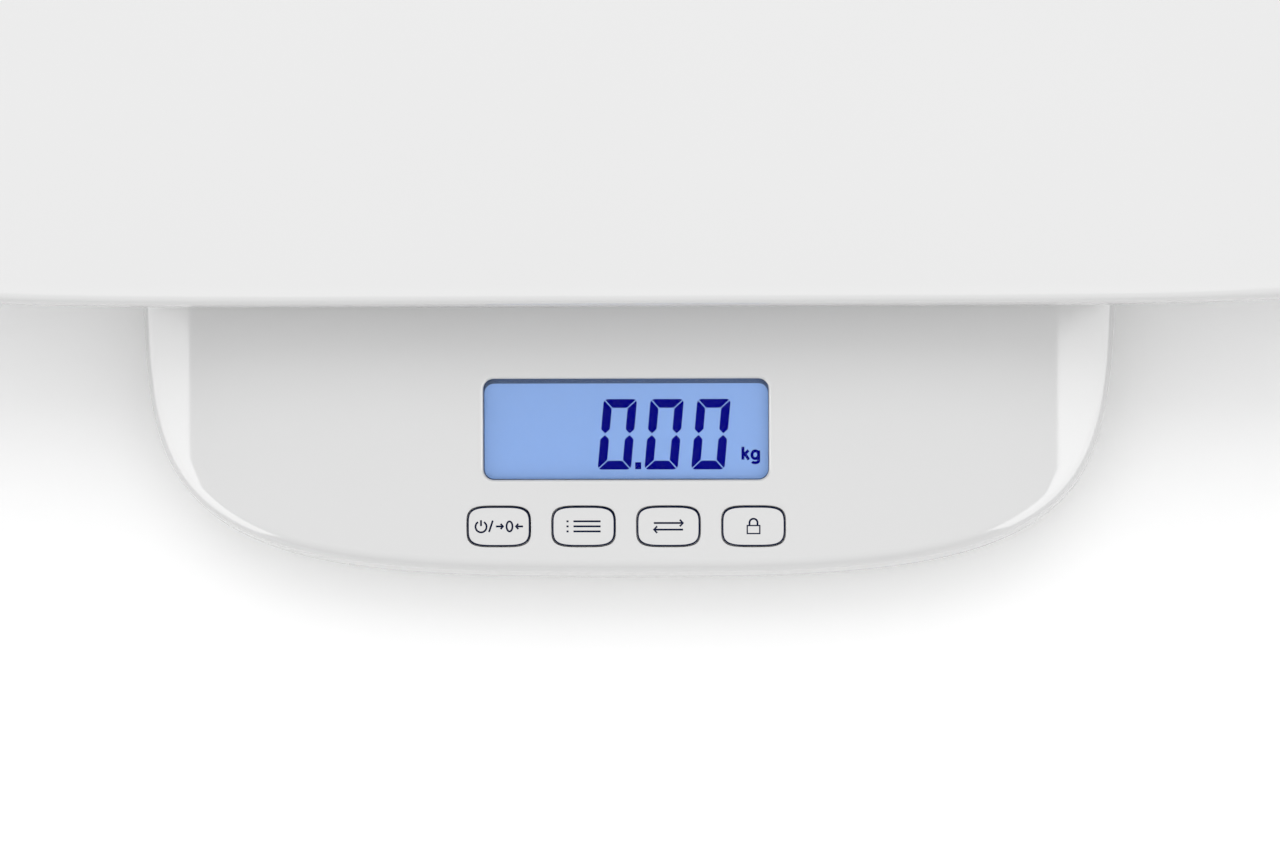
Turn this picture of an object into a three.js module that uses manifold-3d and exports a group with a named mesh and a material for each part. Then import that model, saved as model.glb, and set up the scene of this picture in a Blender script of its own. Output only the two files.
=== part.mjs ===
// A digital baby weighing scale. A wide dished pan stands on a die-cast frame, which a bending-beam
// load cell carries over a steel plate in a low two-part housing. The housing's front lobe stands
// out from under the pan and holds the backlit display, four keys and their board, and a bay in its
// floor holds four AA cells behind a hinged door.
// Millimetres, +Z up, X across, -Y towards the keys, and the origin on the ground in the middle.

import * as THREE from "three";
import { mergeVertices } from "three/addons/utils/BufferGeometryUtils.js";
import Module from "manifold-3d";

const wasm = await Module();
wasm.setup();

// Overall sizes
const panWidth = 580;
const panDepth = 290;
const housingWidth = 283;
const housingDepth = 338;
const lobeReach = 72.5; // how far the housing stands out in front of the pan
const footHeight = 5; // air under the housing's floor
const housingWall = 2.5;
const fitGap = 0.3; // between pieces that are pushed together
const cutOverrun = 3; // how far a cutting tool runs past the face that it cuts

// Plan shape of the housing and the pan, |x/a|^p + |y/b|^q = 1
const housingPowers = { across: 3.32, along: 8 };
const panPowers = { across: 7, along: 7 };

// Weighing pan
const panWall = 3;
const panFrontRise = 17; // rim over the dish's floor, at the middle of its front and back
const panEndRise = 43; // rim over the dish's floor, at its two ends
const panLipRadius = 1.5;
const panLipDrop = 7; // the rim's skirt, below its crest
const panClearance = 4; // air between the pan and the housing
const dishPowers = { across: 2.6, along: 2.4, blend: 2 };
const panRibWidth = 2.4;
const panRibDepth = 2.2; // ribs below the pan, within panClearance

// The pan's four posts, and the screws in them
const postSpacingX = 120;
const postSpacingY = 100;
const postRadius = 8;
const postHoleClearance = 1.5; // the cover's hole round a post
const panScrewRadius = 2;
const panScrewHeadRadius = 3.5;
const panScrewHeadHeight = 2.6;
const panScrewGrip = 8.5; // length of screw inside the post

// Load platform, a cast frame of four hollow arms
const platformHeight = 7;
const platformWeb = 2.5; // thickness of its top and of its side walls
const platformArmWidth = 20;
const platformSpineWidth = 34;
const platformPadRadius = 11;
const platformClearance = 3; // to the cover above it
const platformTravel = 0.8; // how far it sinks before the overload stops
const stopSkin = 0.05; // left between the stops and the frame at that travel

// Load cell, a beam with two joined bores
const cellLength = 130;
const cellWidth = 30;
const cellHeight = 22;
const cellBoreRadius = 7.8;
const cellBoreSpacing = 30;
const cellSlotHeight = 7;
const cellBoltPitch = 15;
const cellBoltInset = 7.5; // from the beam's end to its first bolt
const spacerThickness = 2;
const sealThickness = 1;
const sealLength = 56;
const sealWidth = 22;
const boltRadius = 3;
const boltHeadRadius = 5;
const boltHeadHeight = 3;
const boltGrip = 12; // length of bolt inside the beam

// Steel plate under the load cell
const plateLength = 150;
const plateWidth = 52;
const plateThickness = 2;
const platePad = 2; // raised pad of the housing's floor, under the plate

// Top cover
const lobeFrontHeight = 33; // the panel's plane above the ground, at the front edge
const panelTilt = THREE.MathUtils.degToRad(8);
const panelBlend = 4; // height over which the tilted panel rounds into the flat top
const crownDrop = 9; // fall of the cover from its middle to its sides
const crownPower = 6;
const coverFillet = 3.5;
const coverDraft = 0.6;

// Lower housing
const partingHeight = 20;
const seamGap = 0.3;
const underCut = 16; // how far it draws in from the seam to its floor
const tongueHeight = 2.5;
const tongueThickness = 1.2;

// Screws that hold the two housings together
const caseScrewSideInset = 31.5; // from the housing's sides
const caseScrewEndInset = 61; // from its front and back
const caseBossRadius = 3.6;
const casePillarRadius = 5.6;
const caseScrewRadius = 1.5;
const caseScrewHeadRadius = 3;
const caseScrewHeadHeight = 2;
const caseScrewGrip = 9;
const casePillarHeight = 9; // above the floor's top
const caseCounterbore = 6; // depth of the recess for the screw's head

// Heads of screws and bolts
const headEdgeShare = 0.7; // where a screw head's edge is broken, as a share of its size
const crossDepthShare = 0.5; // depth of the drive recess in the head
const crossLengthShare = 1.2;
const crossWidthShare = 0.3;
const socketSides = 6;

// Feet
const footRadius = 11;
const footRecess = 1.2;
const footSideInset = 55.5; // from the housing's sides
const footEndInset = 51; // from its front and back
const footChamfer = 1.5;

// Display
const windowWidth = 82;
const windowHeight = 29;
const windowCorner = 3;
const windowFromFront = 41; // from the housing's front edge to the window's middle
const windowLip = 1; // cover left over the pane's edge
const paneBorder = 2; // how far the pane runs under that lip
const paneThickness = 1.5;
const glassThickness = 2.2;
const glassBorder = 1.5;
const backlightThickness = 3;
const holderWall = 2;
const stripWidth = 2;
const stripMargin = 4; // from the glass's end to the end of the contact strip

// Keys
const keyCount = 4;
const keyPitch = 24.4;
const keyWidth = 18;
const keyHeight = 11.4;
const keyPower = 4;
const keyFromFront = 13.4; // from the housing's front edge to the keys' middle
const keyWall = 1.2;
const keyFlange = 1; // rim that stops a key from coming out
const keyFlangeThickness = 1;
const keyTravel = 0.8;
const keyStemRadius = 2.2;

// Key switches
const switchSize = 6;
const switchHeight = 3.1;
const plungerRadius = 1.7;
const plungerLength = 2.9;

// Display board and what it carries
const boardThickness = 1.6;
const boardWidth = 124;
const boardFrontMargin = 5.5; // board in front of the keys' middle line
const boardRearMargin = 5; // board behind the window's edge
const boardBossRadius = 3.2;
const boardBossInset = 6; // from the board's edge to its screws
const boardScrewRadius = 1.3;
const boardScrewHeadRadius = 2.6;
const boardScrewHeadHeight = 1.8;
const boardScrewGrip = 4.5;
const chipSize = 12;
const chipThickness = 1.4;
const cableRadius = 1.6;
const leadRadius = 1.1;

// Battery bay and its four cells
const batteryCount = 4;
const batteryRadius = 7.25;
const batteryLength = 50.5;
const batteryNubRadius = 2.75;
const batteryNubLength = 1;
const batteryPitch = 15;
const contactThickness = 0.5;
const contactWidth = 11;
const contactHeight = 12;
const springLength = 6;
const springWire = 0.5; // radius of the spring's wire
const springBaseRadius = 4;
const springTipRadius = 2.4;
const springTurns = 3;
const bayWall = 2;
const baySideGap = 0.6; // between the outer cells and the bay's walls
const bayHeadroom = 0.6;
const bayRearLedge = 5; // floor left under the door's tabs
const bayFrontLedge = 3;
const bayBehindBoard = 4; // from the board's rear edge to the bay
const tabClearance = 3.6; // from the floor's top up to the cells, where the door's tabs turn

// Battery door
const doorGap = 0.4;
const doorThickness = 2;
const doorTabWidth = 10;
const doorTabSpacing = 36;
const doorTabReach = 2.5; // how far a tab hooks over the floor
const doorTabThickness = 1.5;
const doorTabRootLength = 5;
const latchWidth = 16;
const latchLength = 12;
const latchSlotWidth = 1.2;
const latchNibHeight = 1.2;
const gripGrooveDepth = 0.6;
const gripGrooveWidth = 1.2;
const gripGroovePitch = 2.6;
const gripGrooveCount = 3;

// Fineness of curved faces
const ringPoints = 60; // a multiple of four
const filletSteps = 3;
const bowlSteps = 3;
const roundSides = 20;
const screwSides = 8;
const keySides = 24;
const cornerSteps = 3;
const cableSides = 6;
const cableSteps = 18;
const leadSteps = 10;
const wireSides = 4;
const stepsPerTurn = 7;
const fineSteps = 400; // of a quarter outline, before its points are chosen
const lengthWeight = 2; // of an outline's length against its turning, where points are spaced

// Places along Y, from the front edge of the housing
const frontY = -(lobeReach + panDepth) / 2;
const housingY = frontY + housingDepth / 2;
const panY = frontY + lobeReach + panDepth / 2;
const windowY = frontY + windowFromFront;
const keyY = frontY + keyFromFront;

// Heights, from the ground up through the load path
const floorZ = footHeight;
const floorTopZ = floorZ + housingWall;
const plateZ = floorTopZ + platePad;
const lowerSpacerZ = plateZ + plateThickness;
const cellZ = lowerSpacerZ + spacerThickness;
const upperSpacerZ = cellZ + cellHeight;
const platformZ = upperSpacerZ + spacerThickness;
const platformTopZ = platformZ + platformHeight;
const coverInsideZ = platformTopZ + platformClearance;
const coverTopZ = coverInsideZ + housingWall;
const panUnderZ = coverTopZ + panClearance;
const dishFloorZ = panUnderZ + panWall;
const partingZ = partingHeight;
const seamTopZ = partingZ + seamGap;

// Depths below the panel's face, measured square to it
const panelSlope = Math.tan(panelTilt);
const wallBelowPanel = housingWall * Math.cos(panelTilt);
const paneTop = -(windowLip + fitGap);
const paneBottom = paneTop - paneThickness;
const glassTop = paneBottom - fitGap;
const glassBottom = glassTop - glassThickness;
const backlightTop = glassBottom - fitGap;
const backlightBottom = backlightTop - backlightThickness;
const boardTop = backlightBottom - fitGap;
const boardBottom = boardTop - boardThickness;
const keyFlangeTop = -(wallBelowPanel + fitGap);
const keyBottom = keyFlangeTop - keyFlangeThickness;
const keysAlongPanel = (keyY - windowY) / Math.cos(panelTilt); // from the window's middle

// Colours and finishes
const finish = (color, roughness, metalness = 0) =>
  new THREE.MeshStandardMaterial({ color, roughness, metalness });
const whiteGloss = finish(0xeeeeee, 0.18);
const whiteSatin = finish(0xe4e4e2, 0.45);
const castAlloy = finish(0xb8babc, 0.45, 1);
const alloy = finish(0xc6c8ca, 0.35, 1);
const steel = finish(0xa9abad, 0.32, 1);
const rubber = finish(0x55575a, 0.85);
const silicone = finish(0xe9e9e4, 0.6);
const clearPane = finish(0xdfe8f4, 0.05);
const displayBlue = finish(0x87abe3, 0.3);
const milkyPlastic = finish(0xf2f4f6, 0.5);
const boardGreen = finish(0x2f6b46, 0.5);
const blackPlastic = finish(0x1b1c1e, 0.4);
const contactMetal = finish(0xd2cfc4, 0.3, 1);
const batterySleeve = finish(0x3d5a73, 0.35);
const cableGrey = finish(0x8c8f92, 0.6);

// Manifold solids and back

function solidOf(geometry) {
  const bare = geometry.clone();
  bare.deleteAttribute("normal");
  bare.deleteAttribute("uv");
  const merged = mergeVertices(bare);
  return new wasm.Manifold(
    new wasm.Mesh({
      numProp: 3,
      vertProperties: merged.getAttribute("position").array,
      triVerts: new Uint32Array(merged.index.array),
    }),
  );
}

function geometryOf(solid) {
  const { vertProperties, triVerts } = solid.getMesh();
  const geometry = new THREE.BufferGeometry();
  geometry.setAttribute("position", new THREE.BufferAttribute(vertProperties, 3));
  geometry.setIndex(new THREE.BufferAttribute(triVerts, 1));
  geometry.computeVertexNormals();
  return geometry;
}

// The geometry `body` with every geometry of `more` joined on and every one of `cuts` cut out.
function shaped(body, { more = [], cuts = [] }) {
  let solid = solidOf(body);
  for (const piece of more) solid = solid.add(solidOf(piece));
  for (const tool of cuts) solid = solid.subtract(solidOf(tool));
  return geometryOf(solid);
}

// Plain shapes, each placed by its lowest height

function block(width, depth, height, x, y, z) {
  return new THREE.BoxGeometry(width, depth, height).translate(x, y, z + height / 2);
}

function round(radius, height, x, y, z, sides = roundSides) {
  return new THREE.CylinderGeometry(radius, radius, height, sides)
    .rotateX(Math.PI / 2)
    .translate(x, y, z + height / 2);
}

function prism(shape, height, x, y, z) {
  const settings = { depth: height, bevelEnabled: false, curveSegments: cornerSteps };
  return new THREE.ExtrudeGeometry(shape, settings).translate(x, y, z);
}

function roundedRectangle(width, height, corner) {
  const [x, y] = [width / 2, height / 2];
  const shape = new THREE.Shape();
  shape.moveTo(corner - x, -y);
  shape.lineTo(x - corner, -y);
  shape.absarc(x - corner, corner - y, corner, -Math.PI / 2, 0);
  shape.lineTo(x, y - corner);
  shape.absarc(x - corner, y - corner, corner, 0, Math.PI / 2);
  shape.lineTo(corner - x, y);
  shape.absarc(corner - x, y - corner, corner, Math.PI / 2, Math.PI);
  shape.lineTo(-x, corner - y);
  shape.absarc(corner - x, corner - y, corner, Math.PI, 1.5 * Math.PI);
  shape.closePath();
  return shape;
}

// The section of a wire or a cable.
function ringShape(radius, sides) {
  const points = Array.from({ length: sides }, (_, i) => {
    const angle = (i / sides) * 2 * Math.PI;
    return new THREE.Vector2(radius * Math.cos(angle), radius * Math.sin(angle));
  });
  return new THREE.Shape(points);
}

// A barrel-sided key outline, the curve |x/a|^n + |y/b|^n = 1.
function keyShape(width, height) {
  const points = [];
  for (let i = 0; i < keySides; i++) {
    const angle = (i / keySides) * 2 * Math.PI;
    const [c, s] = [Math.cos(angle), Math.sin(angle)];
    points.push(
      new THREE.Vector2(
        (width / 2) * Math.sign(c) * Math.abs(c) ** (2 / keyPower),
        (height / 2) * Math.sign(s) * Math.abs(s) ** (2 / keyPower),
      ),
    );
  }
  return new THREE.Shape(points);
}

// Moulded shells, lofted through rings of one outline

// A quarter of |x/a|^p + |y/b|^q = 1 as closely spaced points, from the side to the front.
function fineQuarter(a, b, { across: p, along: q }) {
  const steps = fineSteps;
  const [middleX, middleY] = [0.5 ** (1 / p), 0.5 ** (1 / q)];
  const points = [];
  for (let i = 0; i < steps; i++) {
    const v = (middleY * i) / steps;
    points.push([(1 - v ** q) ** (1 / p), v]);
  }
  for (let i = steps; i >= 0; i--) {
    const u = (middleX * i) / steps;
    points.push([u, (1 - u ** p) ** (1 / q)]);
  }
  return points.map(([u, v]) => {
    const normal = new THREE.Vector2((p * u ** (p - 1)) / a, (q * v ** (q - 1)) / b).normalize();
    return { x: a * u, y: b * v, normal };
  });
}

// The whole outline as `ringPoints` points with their normals, spaced by length and by turning
// alike, so that the corners get enough of them. It starts at +X and runs anticlockwise.
function outline(width, depth, powers, y) {
  const fine = fineQuarter(width / 2, depth / 2, powers);
  const length = [0];
  const turn = [0];
  for (let i = 1; i < fine.length; i++) {
    const [was, is] = [fine[i - 1], fine[i]];
    length.push(length[i - 1] + Math.hypot(is.x - was.x, is.y - was.y));
    turn.push(turn[i - 1] + Math.abs(is.normal.angle() - was.normal.angle()));
  }
  const last = fine.length - 1;
  const way = length.map(
    (value, i) => (lengthWeight * value) / length[last] + turn[i] / turn[last],
  );
  const perQuarter = ringPoints / 4;
  const quarter = [];
  for (let i = 0; i <= perQuarter; i++) {
    const target = (way[last] * i) / perQuarter;
    quarter.push(fine[way.findIndex((value) => value >= target)] ?? fine[last]);
  }
  const place = (point, sx, sy) => ({
    x: sx * point.x,
    y: y + sy * point.y,
    nx: sx * point.normal.x,
    ny: sy * point.normal.y,
  });
  const inner = quarter.slice(1, -1);
  return [
    place(quarter[0], 1, 1),
    ...inner.map((point) => place(point, 1, 1)),
    place(quarter[perQuarter], 1, 1),
    ...inner.toReversed().map((point) => place(point, -1, 1)),
    place(quarter[0], -1, 1),
    ...inner.map((point) => place(point, -1, -1)),
    place(quarter[perQuarter], 1, -1),
    ...inner.toReversed().map((point) => place(point, 1, -1)),
  ];
}

// The outline drawn in by `inset`, at the height that `heightAt` gives for each point.
function insetRing(edge, inset, heightAt) {
  return edge.map((point) => {
    const [x, y] = [point.x - point.nx * inset, point.y - point.ny * inset];
    return new THREE.Vector3(x, y, heightAt(x, y));
  });
}

// A ring shrunk towards (0, y) to a share of its size, at the height that `heightAt` gives.
function shrunkRing(ring, share, y, heightAt) {
  return ring.map((point) => {
    const [x, py] = [point.x * share, y + (point.y - y) * share];
    return new THREE.Vector3(x, py, heightAt(x, py));
  });
}

// A closed solid through rings that run from its top's middle outwards, over its rim, and back
// below to its underside's middle. Each ring has the same number of points, anticlockwise.
function loft(rings, topMiddle, bottomMiddle) {
  const count = rings[0].length;
  const points = [topMiddle, ...rings.flat(), bottomMiddle];
  const at = (ring, i) => 1 + ring * count + (i % count);
  const index = [];
  for (let i = 0; i < count; i++) {
    index.push(0, at(0, i), at(0, i + 1));
    for (let ring = 0; ring + 1 < rings.length; ring++) {
      const [a, b] = [at(ring, i), at(ring, i + 1)];
      const [c, d] = [at(ring + 1, i), at(ring + 1, i + 1)];
      index.push(a, c, d, a, d, b);
    }
    index.push(points.length - 1, at(rings.length - 1, i + 1), at(rings.length - 1, i));
  }
  const geometry = new THREE.BufferGeometry().setFromPoints(points);
  geometry.setIndex(index);
  return geometry;
}

// Steps of a quarter turn: how far a rounded edge has come in and gone down at each.
function quarterTurn(steps) {
  const turns = [];
  for (let i = 1; i <= steps; i++) {
    const angle = ((i / steps) * Math.PI) / 2;
    turns.push({ out: Math.sin(angle), down: 1 - Math.cos(angle) });
  }
  return turns;
}

// The group and its helpers

const scale = new THREE.Group();

// Display pieces are placed square to the tilted panel, from the window's middle on its face.
const panel = new THREE.Group();
panel.position.set(0, windowY, lobeFrontHeight + windowFromFront * panelSlope);
panel.rotation.x = panelTilt;
panel.updateMatrix();
scale.add(panel);

function add(name, geometry, material, parent = scale) {
  const mesh = new THREE.Mesh(geometry, material);
  mesh.name = name;
  parent.add(mesh);
  return mesh;
}

// A geometry made square to the panel, as a cutting or joining tool for the cover.
const onPanel = (geometry) => geometry.applyMatrix4(panel.matrix);

const leftRight = [
  { side: "left", sx: -1 },
  { side: "right", sx: 1 },
];
const frontRear = [
  { end: "front", sy: -1 },
  { end: "rear", sy: 1 },
];
const corners = frontRear.flatMap(({ end, sy }) =>
  leftRight.map(({ side, sx }) => ({ name: `${end}_${side}`, sx, sy })),
);

// A cross-headed screw: its head stands on z = 0 below, and its shank points up from the head.
function crossScrew(radius, headRadius, headHeight, grip) {
  const profile = [
    [0, -headHeight],
    [headRadius * headEdgeShare, -headHeight],
    [headRadius, -headHeight * headEdgeShare],
    [headRadius, 0],
    [radius, 0],
    [radius, grip - radius],
    [0, grip],
  ].map(([x, y]) => new THREE.Vector2(x, y));
  const body = new THREE.LatheGeometry(profile, screwSides).rotateX(Math.PI / 2);
  const slotDepth = headHeight * crossDepthShare;
  const slotLength = headRadius * crossLengthShare;
  const slotWidth = headRadius * crossWidthShare;
  const slotBottom = -headHeight - cutOverrun;
  const slot = (width, depth) => block(width, depth, slotDepth + cutOverrun, 0, 0, slotBottom);
  return shaped(body, { cuts: [slot(slotLength, slotWidth), slot(slotWidth, slotLength)] });
}

// A bolt with a socket head, the same way up.
function socketBolt(radius, headRadius, headHeight, grip) {
  const profile = [
    [0, -headHeight],
    [headRadius, -headHeight],
    [headRadius, 0],
    [radius, 0],
    [radius, grip],
    [0, grip],
  ].map(([x, y]) => new THREE.Vector2(x, y));
  const body = new THREE.LatheGeometry(profile, screwSides).rotateX(Math.PI / 2);
  const depth = headHeight * crossDepthShare;
  const socket = round(radius, depth + cutOverrun, 0, 0, -headHeight - cutOverrun, socketSides);
  return shaped(body, { cuts: [socket] });
}

// Weighing pan: a dish whose ends rise more than its front and back, with a skirted rim, four
// posts that reach down through the cover, and ribs between them.
const postPlaces = corners.map(({ name, sx, sy }) => ({
  name,
  x: (sx * postSpacingX) / 2,
  y: panY + (sy * postSpacingY) / 2,
}));
// Rings of the dish and of its underside, as shares of the way out to the crest.
const dishShares = [0.22, 0.4, 0.56, 0.7, 0.82, 0.92];
const underShares = [0.94, 0.78, 0.56, 0.3];

function dishHeight(x, y) {
  const u = Math.abs(x) / (panWidth / 2);
  const v = Math.abs(y - panY) / (panDepth / 2);
  const ends = panEndRise * u ** dishPowers.across;
  const sides = panFrontRise * v ** dishPowers.along;
  return dishFloorZ + (ends ** dishPowers.blend + sides ** dishPowers.blend) ** (1 / dishPowers.blend);
}

function weighingPan() {
  const edge = outline(panWidth, panDepth, panPowers, panY);
  const crest = insetRing(edge, panLipRadius, dishHeight);
  const rim = (inset, drop) =>
    insetRing(edge, inset, () => 0).map((point, i) => point.setZ(crest[i].z - drop));
  const underside = (x, y) => dishHeight(x, y) - panWall;
  const rings = [
    ...dishShares.map((share) => shrunkRing(crest, share, panY, dishHeight)),
    crest,
    ...quarterTurn(filletSteps).map(({ out, down }) =>
      rim(panLipRadius * (1 - out), panLipRadius * down),
    ),
    rim(0, panLipDrop),
    rim(panWall, panLipDrop),
    rim(panWall, panWall + panLipRadius / 2),
    ...underShares.map((share) => shrunkRing(crest, share, panY, underside)),
  ];
  const top = new THREE.Vector3(0, panY, dishFloorZ);
  const dish = loft(rings, top, top.clone().setZ(dishFloorZ - panWall));

  // Posts and ribs run up into the middle of the dish's wall, wherever that is above them.
  const wallMiddle = (x, y) => dishHeight(x, y) - panWall / 2;
  const posts = postPlaces.map(({ x, y }) =>
    round(postRadius, wallMiddle(x, y) - platformTopZ, x, y, platformTopZ),
  );
  const ribLow = panUnderZ - panRibDepth;
  const rib = (width, depth, x, y) =>
    block(width, depth, wallMiddle(x, y) - ribLow, x, y, ribLow);
  const ribs = [
    ...frontRear.map(({ sy }) => rib(postSpacingX, panRibWidth, 0, panY + (sy * postSpacingY) / 2)),
    ...leftRight.map(({ sx }) => rib(panRibWidth, postSpacingY, (sx * postSpacingX) / 2, panY)),
  ];
  const screwDepth = panScrewGrip + fitGap + cutOverrun;
  const pilots = postPlaces.map(({ x, y }) =>
    round(panScrewRadius + fitGap, screwDepth, x, y, platformTopZ - cutOverrun, screwSides),
  );
  return shaped(dish, { more: [...posts, ...ribs], cuts: pilots });
}
add("weighing_pan", weighingPan(), whiteGloss);

// Load platform: a spine over the load cell and four arms that end in pads, hollow below.
function platformOutline(shrink, height, z) {
  const armLength = Math.hypot(postSpacingX, postSpacingY);
  const armAngle = Math.atan2(postSpacingY, postSpacingX);
  const arm = (angle) =>
    new THREE.BoxGeometry(armLength, platformArmWidth - 2 * shrink, height)
      .rotateZ(angle)
      .translate(0, panY, z + height / 2);
  const pads = postPlaces.map(({ x, y }) => round(platformPadRadius - shrink, height, x, y, z));
  return {
    spine: block(cellLength - 2 * shrink, platformSpineWidth - 2 * shrink, height, 0, panY, z),
    others: [arm(armAngle), arm(-armAngle), ...pads],
  };
}

const upperBoltPlaces = [0, 1].map((i) => cellLength / 2 - cellBoltInset - i * cellBoltPitch);
const lowerBoltPlaces = upperBoltPlaces.map((x) => -x);
const boltBlockLength = 2 * cellBoltInset + cellBoltPitch;
const boltBlockX = cellLength / 2 - boltBlockLength / 2;

function loadPlatform() {
  const outside = platformOutline(0, platformHeight, platformZ);
  const hollowHeight = platformHeight - platformWeb + cutOverrun;
  const inside = platformOutline(platformWeb, hollowHeight, platformZ - cutOverrun);
  const full = shaped(outside.spine, { more: outside.others });
  const blockDepth = platformSpineWidth - platformWeb;
  const boltBlock = block(boltBlockLength, blockDepth, platformHeight, boltBlockX, panY, platformZ);
  const hollow = shaped(inside.spine, { more: inside.others });
  const cast = shaped(shaped(full, { cuts: [hollow] }), { more: [boltBlock] });
  const headSeat = platformTopZ - boltHeadHeight - fitGap;
  const bolts = upperBoltPlaces.flatMap((x) => [
    round(boltRadius + fitGap, platformHeight + 2 * cutOverrun, x, panY, platformZ - cutOverrun),
    round(boltHeadRadius + fitGap, boltHeadHeight + cutOverrun, x, panY, headSeat),
  ]);
  const screws = postPlaces.map(({ x, y }) =>
    round(panScrewRadius + fitGap, platformHeight, x, y, platformZ + fitGap, screwSides),
  );
  return shaped(cast, { cuts: [...bolts, ...screws] });
}
add("load_platform", loadPlatform(), castAlloy);

for (const { name, x, y } of postPlaces) {
  const grip = panScrewGrip + platformWeb;
  const screw = crossScrew(panScrewRadius, panScrewHeadRadius, panScrewHeadHeight, grip);
  add(`pan_screw_${name}`, screw, steel).position.set(x, y, platformTopZ - platformWeb);
}

// Load cell: an alloy beam, weakened by two joined bores so that it bends as a parallelogram. Its
// left end is bolted to the steel plate, and its right end carries the platform.
function loadCell() {
  const middle = cellZ + cellHeight / 2;
  const reach = cellWidth + 2 * cutOverrun;
  const bore = (x) =>
    new THREE.CylinderGeometry(cellBoreRadius, cellBoreRadius, reach, roundSides).translate(
      x,
      panY,
      middle,
    );
  const slotLow = middle - cellSlotHeight / 2;
  const slot = block(cellBoreSpacing, reach, cellSlotHeight, 0, panY, slotLow);
  const tapped = [...upperBoltPlaces, ...lowerBoltPlaces].map((x) =>
    round(boltRadius + fitGap, cellHeight + 2 * cutOverrun, x, panY, cellZ - cutOverrun, screwSides),
  );
  const beam = block(cellLength, cellWidth, cellHeight, 0, panY, cellZ);
  const bores = leftRight.map(({ sx }) => bore((sx * cellBoreSpacing) / 2));
  return shaped(beam, { cuts: [...bores, slot, ...tapped] });
}
add("load_cell", loadCell(), alloy);

function spacer(places, z) {
  const x = (places[0] + places[1]) / 2;
  const plate = block(boltBlockLength, cellWidth, spacerThickness, x, panY, z);
  const holes = places.map((place) =>
    round(boltRadius + fitGap, spacerThickness + 2 * cutOverrun, place, panY, z - cutOverrun),
  );
  return shaped(plate, { cuts: holes });
}
add("upper_spacer", spacer(upperBoltPlaces, upperSpacerZ), steel);
add("lower_spacer", spacer(lowerBoltPlaces, lowerSpacerZ), steel);

upperBoltPlaces.forEach((x, i) => {
  const throughLength = platformTopZ - fitGap - boltHeadHeight - upperSpacerZ;
  const bolt = socketBolt(boltRadius, boltHeadRadius, boltHeadHeight, throughLength + boltGrip);
  const mesh = add(`platform_bolt_${i + 1}`, bolt, steel);
  mesh.position.set(x, panY, platformTopZ - fitGap - boltHeadHeight);
  mesh.rotation.x = Math.PI;
});

const plateBoltSeatZ = floorZ + fitGap + boltHeadHeight;
lowerBoltPlaces.forEach((x, i) => {
  const grip = cellZ - plateBoltSeatZ + boltGrip;
  const bolt = socketBolt(boltRadius, boltHeadRadius, boltHeadHeight, grip);
  add(`cell_bolt_${i + 1}`, bolt, steel).position.set(x, panY, plateBoltSeatZ);
});

add(
  "gauge_seal",
  prism(roundedRectangle(sealLength, sealWidth, sealThickness), sealThickness, 0, panY, upperSpacerZ),
  silicone,
);

function basePlate() {
  const plate = block(plateLength, plateWidth, plateThickness, 0, panY, plateZ);
  const holes = lowerBoltPlaces.map((x) =>
    round(boltRadius + fitGap, plateThickness + 2 * cutOverrun, x, panY, plateZ - cutOverrun),
  );
  return shaped(plate, { cuts: holes });
}
add("base_plate", basePlate(), steel);

// Top cover: a crowned shell whose tilted front is the panel. The pan's posts pass through it.
// Rings of the cover and of its lining, as shares of the way out to the shoulder.
const coverShares = [0.25, 0.42, 0.58, 0.74, 0.88];
const coverUnderShares = [0.84, 0.6, 0.36];
const housingEdge = outline(housingWidth, housingDepth, housingPowers, housingY);

function smoothMinimum(a, b, blend) {
  const share = Math.min(Math.max((1 + (b - a) / blend) / 2, 0), 1);
  return b + (a - b) * share - blend * share * (1 - share);
}

function coverHeight(x, y) {
  const tilted = lobeFrontHeight + (y - frontY) * panelSlope;
  const crown = crownDrop * (Math.abs(x) / (housingWidth / 2)) ** crownPower;
  return smoothMinimum(tilted, coverTopZ, panelBlend) - crown;
}

function coverShell() {
  const lining = (x, y) => coverHeight(x, y) - housingWall;
  const shoulderInset = coverFillet + coverDraft;
  const shoulder = insetRing(housingEdge, shoulderInset, coverHeight);
  const outer = (inset, drop) => insetRing(housingEdge, inset, (x, y) => coverHeight(x, y) - drop);
  const innerFillet = coverFillet - housingWall;
  const flat = (z) => () => z;
  const rings = [
    ...coverShares.map((share) => shrunkRing(shoulder, share, housingY, coverHeight)),
    shoulder,
    ...quarterTurn(filletSteps).map(({ out, down }) =>
      outer(coverDraft + coverFillet * (1 - out), coverFillet * down),
    ),
    insetRing(housingEdge, 0, flat(seamTopZ)),
    insetRing(housingEdge, housingWall, flat(seamTopZ)),
    ...quarterTurn(filletSteps)
      .toReversed()
      .map(({ out, down }) =>
        outer(shoulderInset - innerFillet * out, housingWall + innerFillet * down),
      ),
    insetRing(housingEdge, shoulderInset, lining),
    ...coverUnderShares.map((share) => shrunkRing(shoulder, share, housingY, lining)),
  ];
  const middle = new THREE.Vector3(0, housingY, coverHeight(0, housingY));
  return loft(rings, middle, middle.clone().setZ(lining(0, housingY)));
}

const keyPlaces = ["power", "mode", "unit", "hold"].slice(0, keyCount).map((name, i) => ({
  name,
  x: (i - (keyCount - 1) / 2) * keyPitch,
}));

const boardFront = keysAlongPanel - boardFrontMargin;
const boardRear = windowHeight / 2 + boardRearMargin;
const boardMiddle = (boardFront + boardRear) / 2;
const boardDepth = boardRear - boardFront;
const boardScrewPlaces = corners.map(({ name, sx, sy }) => ({
  name,
  x: sx * (boardWidth / 2 - boardBossInset),
  y: boardMiddle + sy * (boardDepth / 2 - boardBossInset),
}));

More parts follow.
